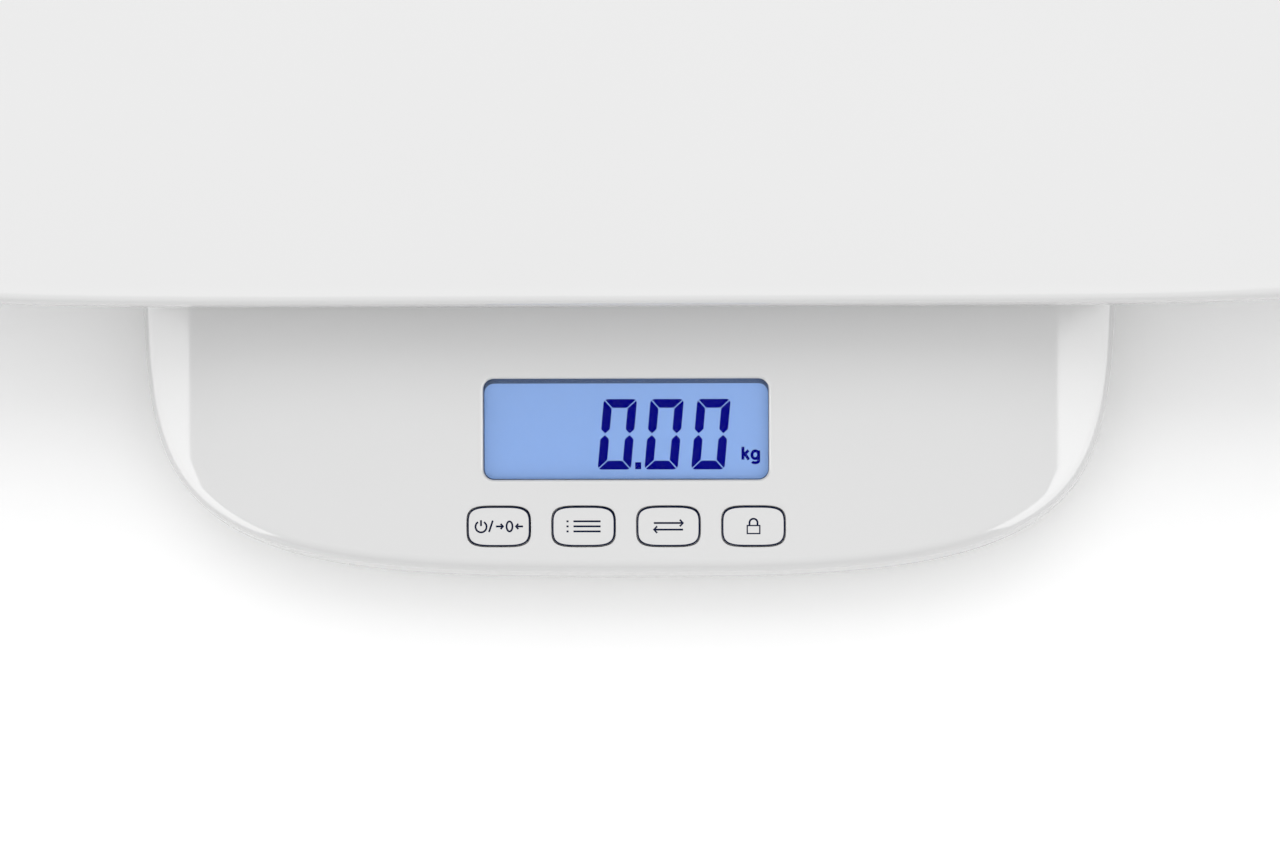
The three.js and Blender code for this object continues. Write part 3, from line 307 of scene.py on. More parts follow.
def boolean(piece, operation, *shapes):
    """Joins closed shapes to the piece, or cuts them out, and keeps the result as its mesh."""
    tool = mesh_object("tool", together(*shapes), None)
    modifier = piece.modifiers.new("boolean", "BOOLEAN")
    modifier.operation = operation
    modifier.object = tool
    modifier.solver = "EXACT"
    result = evaluated_mesh(piece)
    piece.modifiers.clear()
    old = piece.data
    piece.data = result
    bpy.data.meshes.remove(old)
    bpy.data.objects.remove(tool)
    result.shade_smooth()
    result.set_sharp_from_angle(angle=math.radians(sharp_degrees))


def stacked(outline, levels, matrix=None):
    """A solid through one outline at several heights, from below: levels are (outset, height)."""
    bm = bmesh.new()
    number = bm.verts.layers.int.new("number")
    verts = bmesh.ops.create_circle(bm, cap_ends=True, segments=len(outline), radius=1.0)["verts"]
    for i, vert in enumerate(verts):
        vert[number] = i
    edges = list(bm.edges)
    for step, (outset, height) in enumerate(levels):
        if step:
            made = bmesh.ops.extrude_edge_only(bm, edges=edges)["geom"]
            verts = {item for item in made if isinstance(item, bmesh.types.BMVert)}
            edges = [item for item in made if isinstance(item, bmesh.types.BMEdge)]
            edges = [edge for edge in edges if all(vert in verts for vert in edge.verts)]
        for vert in verts:
            point, outward = outline[vert[number]]
            vert.co = Vector((*(point + outward * outset), height))
    bmesh.ops.edgeloop_fill(bm, edges=edges)
    bmesh.ops.recalc_face_normals(bm, faces=bm.faces)
    if matrix:
        bmesh.ops.transform(bm, matrix=matrix, verts=bm.verts)
    return bm


def circle_outline(radius, place=(0.0, 0.0), count=48):
    ring = []
    for i in range(count):
        way = Vector((math.cos(2 * math.pi * i / count), math.sin(2 * math.pi * i / count)))
        ring.append((Vector(place) + way * radius, way))
    return ring


def rod(radius, place, low, high, count=48, matrix=None):
    """An upright rod, or the cutter for a hole."""
    return stacked(circle_outline(radius, place, count), [(0.0, low), (0.0, high)], matrix)


def rounded_rectangle(size, corner, place=(0.0, 0.0), steps=8):
    """A rounded rectangle's points with their outward normals, anticlockwise."""
    size, place = Vector(size), Vector(place[:2])
    ring = []
    for quarter, (sx, sy) in enumerate(((1, 1), (-1, 1), (-1, -1), (1, -1))):
        middle = Vector((sx * (size.x / 2 - corner), sy * (size.y / 2 - corner)))
        for i in range(steps + 1):
            angle = math.pi / 2 * (quarter + i / steps)
            way = Vector((math.cos(angle), math.sin(angle)))
            ring.append((middle + way * corner + place, way))
    return ring


def slab(size, corner, levels, place=(0.0, 0.0), steps=8, matrix=None):
    """An upright solid, or a cutter, with the plan of a rounded rectangle."""
    return stacked(rounded_rectangle(size, corner, place, steps), levels, matrix)


def belongs(piece, body, slot, *node_names):
    """The piece rides on a body and stands for the CAD nodes named, which it hides; slot is not
    used.
    """
    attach(piece, body)
    if node_names:
        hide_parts(*node_names)


def dish_height(x, y):
    u = abs(x - pan_centre.x) / pan_half.x
    v = abs(y - pan_centre.y) / pan_half.y
    end, front = pan_end_rise * u**pan_end_power, pan_front_rise * v**pan_front_power
    return pan_floor + math.hypot(end, front)


class Finish:
    """A material whose colour, gloss and surface follow noises on Object coordinates."""

    def __init__(self, name, sockets=None):
        self.material = bpy.data.materials.new(name)
        self.material.use_nodes = True
        self.tree = self.material.node_tree
        self.shader = self.tree.nodes["Principled BSDF"]
        self.place = shader_node(self.tree, "TexCoord", {})["Object"]
        for socket, value in (sockets or {}).items():
            self.shader.inputs[socket].default_value = value

    def noise(self, scale, detail, stretch=None):
        """A noise as fine as `scale`, along each axis by `stretch`."""
        place = self.place
        if stretch:
            place = shader_node(self.tree, "Mapping", {"Vector": place, "Scale": stretch})["Vector"]
        inputs = {"Vector": place, "Scale": scale, "Detail": detail}
        return shader_node(self.tree, "TexNoise", inputs)["Fac"]

    def tone(self, noise, colour, drift, low=0.0, high=1.0):
        """The colour, darker by `drift` where the noise is at `low` or below."""
        output = shader_node(self.tree, "ValToRGB", {"Fac": noise})["Color"]
        dark, light = output.node.color_ramp.elements
        dark.position, light.position = low, high
        dark.color = (*[c * (1 - drift) for c in colour], 1.0)
        light.color = (*colour, 1.0)
        self.tree.links.new(output, self.shader.inputs["Base Color"])

    def gloss(self, noise, smoothest, roughest):
        inputs = {"Value": noise, "To Min": smoothest, "To Max": roughest}
        output = shader_node(self.tree, "MapRange", inputs)["Result"]
        self.tree.links.new(output, self.shader.inputs["Roughness"])

    def relief(self, noise, strength, height):
        inputs = {"Height": noise, "Strength": strength, "Distance": height}
        output = shader_node(self.tree, "Bump", inputs)["Normal"]
        self.tree.links.new(output, self.shader.inputs["Normal"])


def plastic(name, colour, roughness, drift, ripple=0.0, grain=420.0, sockets=None):
    """Moulded plastic: a slow drift in tone, unevenly glossy, with a faint ripple or grain."""
    finish = Finish(name, sockets)
    finish.tone(finish.noise(scale=9.0, detail=2.0), colour, drift, low=0.3, high=0.7)
    finish.gloss(finish.noise(scale=38.0, detail=4.0), roughness * 0.85, roughness * 1.2)
    if ripple:
        finish.relief(finish.noise(grain, detail=1.0), strength=ripple, height=0.00004)
    return finish.material


def below_rim(drop):
    return lambda x, y, rim: rim - drop


white_gloss = plastic(
    "white_gloss_abs", (0.67, 0.67, 0.67), roughness=0.06, drift=0.012, ripple=0.04,
    sockets={"Specular IOR Level": 0.7},
)
pan = MouldedShell(pan_centre, pan_half, pan_powers, pan_grid, pan_lip, dish_height)
for out, down in quarter_turn(6):
    pan.grow(pan_lip * (1 - out), below_rim(pan_lip * down))
pan.grow(0.0, below_rim(pan_skirt - pan_edge_radius))
for out, down in quarter_turn(3):
    pan.grow(pan_edge_radius * down, below_rim(pan_skirt - pan_edge_radius * (1 - out)))
for out, down in reversed([(0.0, 0.0), *quarter_turn(3)[:-1]]):
    inset = pan_wall - pan_edge_radius * down
    pan.grow(inset, below_rim(pan_skirt - pan_edge_radius * (1 - out)))
pan.grow(pan_wall, below_rim(pan_inner_drop))
pan_shape = pan.close(pan_inner_inset, lambda x, y: dish_height(x, y) - pan_wall)
pan_moulding = mesh_object("pan_moulding", pan_shape, white_gloss)

posts = []
pilots = []
for place in post_places:
    levels = [(-post_edge, post_bottom), (0.0, post_bottom + post_edge)]
    levels.append((0.0, dish_height(*place) - pan_wall / 2))
    posts.append(stacked(circle_outline(post_radius, place), levels))
    ends = (post_bottom - pan_wall, post_bottom + post_screw_depth)
    pilots.append(rod(post_screw_radius, place, *ends, 24))
boolean(pan_moulding, "UNION", *posts)
rib_bottom = pan_floor - pan_wall - rib_drop
for along, across in ((0, 1), (1, 0)):
    ribs = []
    for side in (-1, 1):
        size = Vector((rib_thickness, rib_thickness))
        size[along] = 2 * post_reach[along]
        middle = pan_centre.copy()
        middle[across] += side * post_reach[across]
        rib_top = dish_height(middle.x, middle.y) - pan_wall / 2
        levels = [(-rib_edge, rib_bottom), (0.0, rib_bottom + rib_edge), (0.0, rib_top)]
        ribs.append(slab(size, rib_edge, levels, middle, 2))
    boolean(pan_moulding, "UNION", *ribs)
boolean(pan_moulding, "DIFFERENCE", *pilots)
belongs(pan_moulding, "platform", "gloss_white", "weighing_pan")

# Top cover
# The housing's upper half, moulded in the same white: a flat top that the pan's posts pass
# through, and a front lobe whose gently rising face holds the display's opening and four keys.
cover_centre, cover_half = footprint("top_cover")
cover_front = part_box("top_cover")[0].y
cover_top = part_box("top_cover")[1].z
housing_powers = (3.32, 8.0)
cover_grid = (140, 170)
cover_wall = 0.0025
cover_fillet = 0.0035
cover_draft = 0.0006
seam_top = 0.0203
seam_edge = 0.0004
seam_break = seam_edge * 0.3
panel_tilt = math.radians(8.0)
panel_front_height = 0.033
panel_blend = 0.004
crown_drop = 0.009
crown_power = 6.0
window_from_front = 0.041
window_size = Vector((0.082, 0.029))
window_corner = 0.003
window_lip = 0.001
window_edge_radius = 0.0009
pane_border = 0.002
key_from_front = 0.0134
key_pitch = 0.0244
key_size = Vector((0.018, 0.0114))
key_power = 4.0
key_gap = 0.0003
cover_edge_radius = 0.0005
well_edge_radius = 0.00015
post_clearance = 0.0015
board_boss_radius = 0.0032
board_boss_bottom = -0.0086
board_pilot_radius = 0.0016
board_pilot_depth = 0.0045
board_screw_places = corner_places(0.056, (-0.02737, 0.0135))
case_boss_radius = 0.0036
case_boss_bottom = 0.0168
case_pilot_radius = 0.0018
case_pilot_depth = 0.0090
case_screw_places = corner_places(0.110, (-0.12025, 0.09575))
cut_overrun = 0.002
cut_slack = 0.00002

panel_height = panel_front_height + window_from_front * math.tan(panel_tilt)
panel_middle = (0.0, cover_front + window_from_front, panel_height)
panel_place = Matrix.Translation(panel_middle) @ Matrix.Rotation(panel_tilt, 4, "X")
key_row = (key_from_front - window_from_front) / math.cos(panel_tilt)
key_names = ("power", "mode", "unit", "hold")
key_places = [((i - 1.5) * key_pitch, key_row) for i in range(len(key_names))]


def on_panel(x, y, z=0.0):
    return panel_place @ Matrix.Translation((x, y, z))


def widened(size, border):
    """A width and depth with a border added at all four sides."""
    return size + Vector((2, 2)) * border


def cover_height(x, y):
    tilted = panel_front_height + (y - cover_front) * math.tan(panel_tilt)
    share = min(max(0.5 + (cover_top - tilted) / (2 * panel_blend), 0.0), 1.0)
    lower = cover_top + (tilted - cover_top) * share - panel_blend * share * (1 - share)
    return lower - crown_drop * (abs(x) / cover_half.x) ** crown_power


def key_outline(size, count=72):
    """A barrel-sided key's points with their outward normals: |x/a|^n + |y/b|^n = 1."""
    ring = []
    for i in range(count):
        c, s = math.cos(2 * math.pi * i / count), math.sin(2 * math.pi * i / count)
        u = math.copysign(abs(c) ** (2 / key_power), c)
        v = math.copysign(abs(s) ** (2 / key_power), s)
        slope_x = math.copysign(abs(u) ** (key_power - 1) / size.x, u)
        slope_y = math.copysign(abs(v) ** (key_power - 1) / size.y, v)
        point = Vector((size.x / 2 * u, size.y / 2 * v))
        ring.append((point, Vector((slope_x, slope_y)).normalized()))
    return ring


def mouth_levels(face, end, radius):
    """The levels of a cutter from `end` out past the surface at `face`, whose edge it rounds."""
    way = math.copysign(1.0, face - end)
    turns = quarter_turn(4)[:-1]
    rounding = [(radius * down, face - way * radius * (1 - out)) for out, down in turns]
    beyond = [(radius, face + way * cut_slack), (radius, face + way * cut_overrun)]
    return [(0.0, end), (0.0, face - way * radius), *rounding, *beyond]


def below_cover(drop):
    return lambda x, y, rim: cover_height(x, y) - drop


def above_seam(share):
    """Heights at a share of the way up from the seam to where the cover's edge rounds over."""
    return lambda x, y, rim: seam_top + (cover_height(x, y) - cover_fillet - seam_top) * share


def level(z):
    return lambda x, y, rim: z


cover = MouldedShell(
    cover_centre, cover_half, housing_powers, cover_grid, cover_fillet + cover_draft, cover_height
)
for out, down in quarter_turn(8):
    cover.grow(cover_draft + cover_fillet * (1 - out), below_cover(cover_fillet * down))
for share in (0.75, 0.5, 0.25):
    cover.grow(cover_draft * share, above_seam(share))
cover.grow(0.0, level(seam_top + seam_edge))
cover.grow(seam_break, level(seam_top + seam_break))
cover.grow(seam_edge, level(seam_top))
cover.grow(cover_wall, level(seam_top))
inner_fillet = cover_fillet - cover_wall
for out, down in reversed([(0.0, 0.0), *quarter_turn(4)]):
    inset = cover_fillet + cover_draft - inner_fillet * out
    cover.grow(inset, below_cover(cover_wall + inner_fillet * down))
cover_shape = cover.close(
    cover_fillet + cover_draft + cover_wall, lambda x, y: cover_height(x, y) - cover_wall
)
cover_moulding = mesh_object("cover_moulding", cover_shape, white_gloss)

bosses = []
pilots = []
for place in board_screw_places:
    low, high = board_boss_bottom, board_boss_bottom + board_pilot_depth
    bosses.append(rod(board_boss_radius, place, low, -cover_wall / 2, 32, panel_place))
    pilots.append(rod(board_pilot_radius, place, low - cut_overrun, high, 24, panel_place))
for place in case_screw_places:
    low, high = case_boss_bottom, case_boss_bottom + case_pilot_depth
    bosses.append(rod(case_boss_radius, place, low, cover_height(*place) - cover_wall / 2, 32))
    pilots.append(rod(case_pilot_radius, place, low - cut_overrun, high, 24))
below_wall = -cover_wall - cut_overrun
pocket_size = widened(window_size, pane_border + key_gap)
pocket_levels = [(0.0, below_wall), (0.0, -window_lip)]
pocket = slab(pocket_size, window_corner + pane_border, pocket_levels, matrix=panel_place)
opening_levels = mouth_levels(0.0, below_wall, window_edge_radius)
openings = [slab(window_size, window_corner, opening_levels, matrix=panel_place)]
well_outline = key_outline(widened(key_size, key_gap))
well_levels = mouth_levels(0.0, below_wall, well_edge_radius)
openings += [stacked(well_outline, well_levels, on_panel(*place)) for place in key_places]
hole_levels = mouth_levels(cover_top, cover_top + below_wall, cover_edge_radius)
for place in post_places:
    openings.append(stacked(circle_outline(post_radius + post_clearance, place), hole_levels))
boolean(cover_moulding, "UNION", *bosses)
boolean(cover_moulding, "DIFFERENCE", *pilots)
boolean(cover_moulding, "DIFFERENCE", pocket)
boolean(cover_moulding, "DIFFERENCE", *openings)
belongs(cover_moulding, "housing", "gloss_white", "top_cover")

# Display window
# A clear acrylic pane with softly rounded edges. It lies under the cover's lip and shows through
# the whole opening.
display_gap = 0.0003
pane_thickness = 0.0015
pane_edge_radius = 0.0003
pane_top = -(window_lip + display_gap)
pane_bottom = pane_top - pane_thickness


def plate_levels(low, high, radius, steps=3):
    """The levels of a plate from low to high with both of its edges rounded."""
    turns = [(0.0, 0.0), *quarter_turn(steps)]
    lower = [(-radius * (1 - out), low + radius * down) for out, down in turns]
    upper = [(-radius * (1 - out), high - radius * down) for out, down in reversed(turns)]
    return lower + upper


clear_acrylic = plastic(
    "clear_acrylic", (0.97, 0.98, 1.0), roughness=0.03, drift=0.01,
    sockets={"Transmission Weight": 1.0, "IOR": 1.10, "Specular IOR Level": 0.15},
)
pane_size = widened(window_size, pane_border)
pane_levels = plate_levels(pane_bottom, pane_top, pane_edge_radius)
pane_shape = slab(pane_size, window_corner + pane_border, pane_levels, matrix=panel_place)
window_pane = mesh_object("window_pane", pane_shape, clear_acrylic)
belongs(window_pane, "housing", "clear_pane", "display_window")

# Display
# Liquid crystal glass lit from behind in blue, painted shade in dark ink round its edge, widest
# along the top where the window's rear edge shades the glass, and dark blue digits with mitred
# segments, leaning a little to the right.
glass_thickness = 0.0022
glass_border = 0.0015
glass_corner = 0.0004
glass_edge = 0.0001
glass_top = pane_bottom - display_gap
glass_bottom = glass_top - glass_thickness
ink_thickness = 0.00005
stroke_thickness = 0.00006
# Widths of the painted shade round the display's edge: along the top, and at the sides and bottom.
shade_top_width = 0.0014
shade_side_width = 0.0002
digit_height = 0.02023
digit_width = 0.00958
digit_pitch = 0.01345
digit_slant = math.tan(math.radians(5.25))
digit_stroke = 0.00252
digit_corner = 0.0008
digit_corner_share = 0.3
digit_gap = 0.0003
digit_tip_gap = 0.00022
digit_places = [(-0.00824 + i * digit_pitch, -0.01163) for i in range(3)]
point_place = Vector((0.00344, -0.01055))
point_size = Vector((0.00175, 0.00202))
unit_place = (0.03356, -0.00887)
unit_line = 0.00084

blue_glass = plastic(
    "backlit_blue_glass", (0.10, 0.17, 0.33), roughness=0.25, drift=0.06,
    sockets={"Emission Color": (0.235, 0.40, 0.76, 1.0), "Emission Strength": 0.42},
)
glass_outline = rounded_rectangle(widened(window_size, glass_border), glass_corner, steps=2)
glass_levels = plate_levels(glass_bottom, glass_top, glass_edge)
glass_shape = stacked(glass_outline, glass_levels, panel_place)
display_glass = mesh_object("display_glass", glass_shape, blue_glass)
belongs(display_glass, "housing", "display_blue", "lcd_glass")


def polygon(points):
    """Corners of a flat shape, in the form that `stacked` takes."""
    return [(Vector(point), Vector((0.0, 0.0))) for point in points]


def zero_segments():
    """The six segments of a nought, mitred and with softened corners, from its lower left."""
    w, h, t = digit_width, digit_height, digit_stroke
    cut = digit_gap * math.sqrt(0.5)
    soft = digit_corner * digit_corner_share
    far, near = cut + digit_corner, cut + soft
    top = [(far, h), (near, h - soft), (cut + t, h - t)]
    top += [(w - x, y) for x, y in reversed(top)]
    middle = h / 2 + digit_tip_gap
    side = [(0, h - far), (0, middle + t / 2), (t / 2, middle), (t, middle + t / 2)]
    side += [(t, h - t - cut), (soft, h - near)]
    other_side = [(w - x, y) for x, y in side]
    upper = [top, side, other_side]
    lower = [[(x, h - y) for x, y in shape] for shape in upper]
    return upper + lower


ink_levels = [(0.0, glass_top), (0.0, glass_top + ink_thickness)]
segments = []
for place_x, place_y in digit_places:
    for shape in zero_segments():
        leaning = [(place_x + x + y * digit_slant, place_y + y) for x, y in shape]
        segments.append(stacked(polygon(leaning), ink_levels, panel_place))
point_corners = [
    point_place + Vector((sx * point_size.x, sy * point_size.y)) / 2
    for sx, sy in ((-1, -1), (1, -1), (1, 1), (-1, 1))
]
segments.append(stacked(polygon(point_corners), ink_levels, panel_place))
navy_ink = plastic(
    "navy_ink", (0.0005, 0.0008, 0.150), roughness=0.6, drift=0.15,
    sockets={"Specular IOR Level": 0.0},
)
digits = mesh_object("display_digits", together(*segments), navy_ink)


def wire_mesh(name, lines, radius, matrix):
    """Round wires in one mesh: each is a list of points, closed where it ends as it began."""
    curve = bpy.data.curves.new(name, "CURVE")
    curve.dimensions = "3D"
    curve.bevel_depth = radius
    curve.bevel_resolution = 2
    curve.use_fill_caps = True
    for points in lines:
        closed = points[0] == points[-1]
        points = points[:-1] if closed else points
        spline = curve.splines.new("POLY")
        spline.points.add(len(points) - 1)
        for point, spot in zip(spline.points, points):
            point.co = (*spot, 1.0)
        spline.use_cyclic_u = closed
    source = bpy.data.objects.new(name, curve)
    scene.collection.objects.link(source)
    mesh = evaluated_mesh(source)
    bpy.data.objects.remove(source)
    mesh.transform(matrix)
    return mesh


def printed(name, lines, width, matrix, material):
    """Flat printed lines: each is a list of (x, y), closed where it ends as it began."""
    flat = Matrix.Diagonal((1.0, 1.0, stroke_thickness / width, 1.0))
    wires = [[(x, y, 0.0) for x, y in line] for line in lines]
    mesh = wire_mesh(name, wires, width / 2, matrix @ flat)
    mesh.materials.clear()
    mesh.materials.append(material)
    piece = bpy.data.objects.new(name, mesh)
    scene.collection.objects.link(piece)
    return piece


def arc(x, y, across, along, start, end, count=24):
    """Points along an oval's arc, with its angles in degrees; a whole turn is closed."""
    angles = [math.radians(start + (end - start) * i / count) for i in range(count + 1)]
    points = [(x + across * math.cos(angle), y + along * math.sin(angle)) for angle in angles]
    return points[:-1] + points[:1] if abs(end - start) == 360 else points


def from_millimetres(lines):
    return [[(x / 1000, y / 1000) for x, y in line] for line in lines]


# The strokes of the "k" and the "g", in millimetres from the foot of the "k".
unit_strokes = [
    [(0.0, 0.0), (0.0, 3.72)],
    [(0.1, 1.18), (1.59, 2.70)],
    [(0.62, 1.70), (1.68, 0.0)],
    arc(3.53, 1.42, 0.95, 1.12, 0, 360),
    [(4.51, 2.66), *arc(3.53, -0.30, 0.98, 0.60, 0, -155)],
]
unit_at = on_panel(*unit_place, glass_top + stroke_thickness / 2)
unit_mark = printed(
    "display_unit", from_millimetres(unit_strokes), unit_line, unit_at, navy_ink
)

# Painted shade: a dark ink round the glass's edge, widest along the top, stands in for the shade
# that the window's edges cast on the display.
painted_shade_ink = plastic("painted_shade_ink", (0.040, 0.075, 0.165), roughness=0.5, drift=0.2)
display_painted_shade = mesh_object("display_painted_shade", stacked(glass_outline, ink_levels), painted_shade_ink)
clear_depth = window_size.y - shade_top_width - shade_side_width
clear_size = Vector((window_size.x - 2 * shade_side_width, clear_depth))
clear_middle = (0.0, (shade_side_width - shade_top_width) / 2)
clear_levels = [(0.0, glass_top - window_lip), (0.0, glass_top + window_lip)]
clear_corner = window_corner - shade_side_width
boolean(display_painted_shade, "DIFFERENCE", slab(clear_size, clear_corner, clear_levels, clear_middle))
display_painted_shade.data.transform(panel_place)
for print_piece in (digits, unit_mark, display_painted_shade):
    belongs(print_piece, "housing", "display_blue")

# Keys
# Four flush caps moulded in the housing's white, with a thin navy line printed round each edge
# and a plain sign on it: power and set-to-nought, list, two opposite arrows and a padlock.
key_edge_radius = 0.00012
key_flange = 0.001
key_flange_thickness = 0.001
key_flange_edge = 0.0002
key_flange_top = -(cover_wall * math.cos(panel_tilt) + key_gap)
key_wall = 0.0012
key_bottom = key_flange_top - key_flange_thickness
key_stem_radius = 0.0022
key_stem_edge = 0.0003
key_flank_slope = math.radians(40.0)
print_line = 0.00038
print_line_inset = 0.00019
sign_line = 0.00054


def arrow(tail, tip, y, head):
    """A straight arrow along x, with a head of two short strokes."""
    back = tip + math.copysign(head, tail - tip)
    return [[(tail, y), (tip, y)], [(back, y + head), (tip, y), (back, y - head)]]


def sign_strokes():
    """The strokes of each key's sign, from the key's middle, in millimetres."""
    rows = (1.45, 0.0, -1.45)
    power = [arc(-5.1, -0.1, 1.6, 1.6, 122, 418), [(-5.1, 1.8), (-5.1, 0.1)]]
    power += [[(-2.8, -1.6), (-1.7, 1.7)], arc(3.1, 0.0, 0.85, 1.45, 0, 360)]
    power += [*arrow(-0.8, 1.3, 0.0, 0.75), *arrow(7.0, 4.9, 0.0, 0.75)]
    bars = [[(-2.9, y), (4.9, y)] for y in rows]
    dots = [[(-4.9, y), (-4.3, y)] for y in rows]
    swap = [*arrow(-4.2, 4.2, 0.95, 0.95), *arrow(4.2, -4.2, -0.95, 0.95)]
    lock_body = [(-1.8, 0.2), (1.8, 0.2), (1.8, -2.1), (-1.8, -2.1), (-1.8, 0.2)]
    shackle = [(-1.15, 0.2), *arc(0.0, 1.0, 1.15, 1.15, 180, 0), (1.15, 0.2)]
    return {"power": power, "mode": bars + dots, "unit": swap, "hold": [lock_body, shackle]}


def copied(model, name, place):
    """A copy of a model, set in its place."""
    piece = model.copy()
    piece.data = model.data.copy()
    piece.name = name
    piece.data.transform(place)
    scene.collection.objects.link(piece)
    return piece


cap_levels = [
    (key_flange - key_flange_edge, key_bottom),
    (key_flange, key_bottom + key_flange_edge),
    (key_flange, key_flange_top - key_flange_edge),
    (key_flange - key_flange_edge, key_flange_top),
    (0.0, key_flange_top),
    *[(-key_edge_radius * down, -key_edge_radius * (1 - out)) for out, down in quarter_turn(4)],
]
hollow_levels = [(0.0, key_bottom - key_wall), (0.0, -key_wall)]
hollow = stacked(key_outline(widened(key_size, -key_wall)), hollow_levels)
stem_foot = [(-key_stem_edge, key_bottom), (0.0, key_bottom + key_stem_edge)]
stem = stacked(circle_outline(key_stem_radius, count=32), [*stem_foot, (0.0, -key_wall / 2)])
key_model = mesh_object("key_model", stacked(key_outline(key_size), cap_levels), white_gloss)
boolean(key_model, "DIFFERENCE", hollow)
boolean(key_model, "UNION", stem)
key_line_ink = plastic(
    "key_line_ink", (0.0022, 0.0070, 0.034), roughness=0.5, drift=0.2,
    sockets={"Specular IOR Level": 0.05},
)
key_model.data.materials.append(key_line_ink)
for face in key_model.data.polygons:
    upright = abs(face.normal.z) < math.cos(key_flank_slope)
    outside = face.normal.dot(face.center) > 0.0
    face.material_index = int(upright and outside and face.center.z > key_flange_top)
line_ring = [tuple(point) for point, _ in key_outline(widened(key_size, -print_line_inset))]
line_ring.append(line_ring[0])
signs = sign_strokes()
for name, key_place in zip(key_names, key_places):
    place = on_panel(*key_place)
    cap = copied(key_model, f"{name}_key_cap", place)
    belongs(cap, f"{name}_key", "gloss_white", f"key_{name}")
    prints = (("line", [line_ring], print_line), ("sign", from_millimetres(signs[name]), sign_line))
    for print_name, lines, width in prints:
        print_piece = printed(f"{name}_key_{print_name}", lines, width, place, key_line_ink)
        belongs(print_piece, f"{name}_key", "gloss_white")
bpy.data.objects.remove(key_model)

# Lower housing
# A satin white tub that curves in below the seam to a flat floor. It carries the battery bay, the
# steel plate's pad, four guide tubes for the pan's posts, screw pillars and the feet's recesses.
tub_grid = (90, 110)
fit_gap = 0.0003
floor_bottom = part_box("lower_housing")[0].z
floor_top = floor_bottom + cover_wall
standing = floor_top - cover_wall / 2
seam_bottom = seam_top - fit_gap
under_cut = 0.016
tongue_thickness = 0.0012
tongue_height = 0.0025
tongue_edge = 0.0003
tongue_outside = cover_wall + cover_draft + fit_gap
tongue_inside = tongue_outside + tongue_thickness
tongue_top = seam_bottom + tongue_height
bay_length = 0.0587
bay_front = -0.11694
bay_rear = -0.05624
bay_roof = 0.0262
bay_wall = 0.002
bay_corner = 0.0008
block_corner = 0.002
block_edge = 0.0006
opening_front = -0.11394
opening_rear = -0.06124
plate_pad_size = Vector((0.150, 0.052))
plate_pad_top = 0.0095
pillar_radius = 0.0056
pillar_top = 0.0165
case_head_radius = 0.0030
case_head_seat = 0.011
case_shank_radius = 0.0015
guide_radius = 0.00975
guide_bore = 0.00675
guide_top = 0.03665
guide_edge = 0.0004
bolt_places = [(x, pan_centre.y) for x in (-0.0575, -0.0425)]
bolt_head_radius = 0.005
bolt_head_height = 0.003
bolt_radius = 0.003
bolt_seat = floor_bottom + fit_gap + bolt_head_height
foot_radius = 0.011
foot_places = corner_places(0.086, (-0.13025, 0.10575))
foot_recess_top = 0.0062
mouth_radius = 0.0004


def box_shape(size, place, low, high, corner, edge=0.0003):
    """An upright box about `place` with rounded corners and softened edges."""
    return slab(size, corner, plate_levels(low, high, edge, 2), place, 3)


def bore_shape(place, head_radius, seat, shank_radius, top):
    """A cutter for a counterbore from the floor's underside and the hole that goes on above it."""
    step = shank_radius - head_radius
    above = [(step, top + cut_overrun), (step, seat)]
    below = mouth_levels(floor_bottom, seat, mouth_radius)
    return stacked(circle_outline(head_radius + fit_gap, place), above + below)


white_satin = plastic(
    "white_satin_abs", (0.69, 0.69, 0.68), roughness=0.40, drift=0.02, ripple=0.35, grain=2600.0
)
tub = MouldedShell(
    cover_centre, cover_half, housing_powers, tub_grid, under_cut, lambda x, y: floor_bottom
)
bowl_rise = seam_bottom - seam_edge - floor_bottom
for out, down in quarter_turn(12):
    tub.grow(under_cut * (1 - out), level(floor_bottom + bowl_rise * down))
for inset, height in (
    (seam_break, seam_bottom - seam_break),
    (seam_edge, seam_bottom),
    (tongue_outside, seam_bottom),
    (tongue_outside, tongue_top - tongue_edge),
    (tongue_outside + tongue_edge, tongue_top),
    (tongue_inside - tongue_edge, tongue_top),
    (tongue_inside, tongue_top - tongue_edge),
):
    tub.grow(inset, level(height))
for out, down in reversed(quarter_turn(8)):
    inset = tongue_inside + under_cut * (1 - out)
    tub.grow(inset, level(floor_top + (seam_bottom - floor_top) * down))
tub_shape = tub.close(tongue_inside + under_cut, lambda x, y: floor_top)
tub_moulding = mesh_object("tub_moulding", tub_shape, white_satin)

bay_middle = (0.0, (bay_front + bay_rear) / 2)
bay_size = Vector((bay_length, bay_rear - bay_front))
block_size = widened(bay_size, bay_wall)
block_top = bay_roof + bay_wall
guide_levels = plate_levels(standing, guide_top, guide_edge, 2)
raised = [
    box_shape(block_size, bay_middle, standing, block_top, block_corner, block_edge),
    box_shape(plate_pad_size, pan_centre, standing, plate_pad_top, block_corner),
    *[rod(pillar_radius, place, standing, pillar_top, 40) for place in case_screw_places],
    *[stacked(circle_outline(guide_radius, place), guide_levels) for place in post_places],
]
bay_hollow = slab(bay_size, bay_corner, [(0.0, floor_top), (0.0, bay_roof)], bay_middle, 3)
opening_middle = (0.0, (opening_front + opening_rear) / 2)
opening_size = (bay_length, opening_rear - opening_front)
opening_levels = mouth_levels(floor_bottom, floor_top + cut_overrun, mouth_radius)
cuts = [slab(opening_size, bay_corner, opening_levels, opening_middle, 3)]
for place in case_screw_places:
    cuts.append(
        bore_shape(place, case_head_radius, case_head_seat, case_shank_radius, pillar_top)
    )
for place in bolt_places:
    cuts.append(bore_shape(place, bolt_head_radius, bolt_seat, bolt_radius, plate_pad_top))
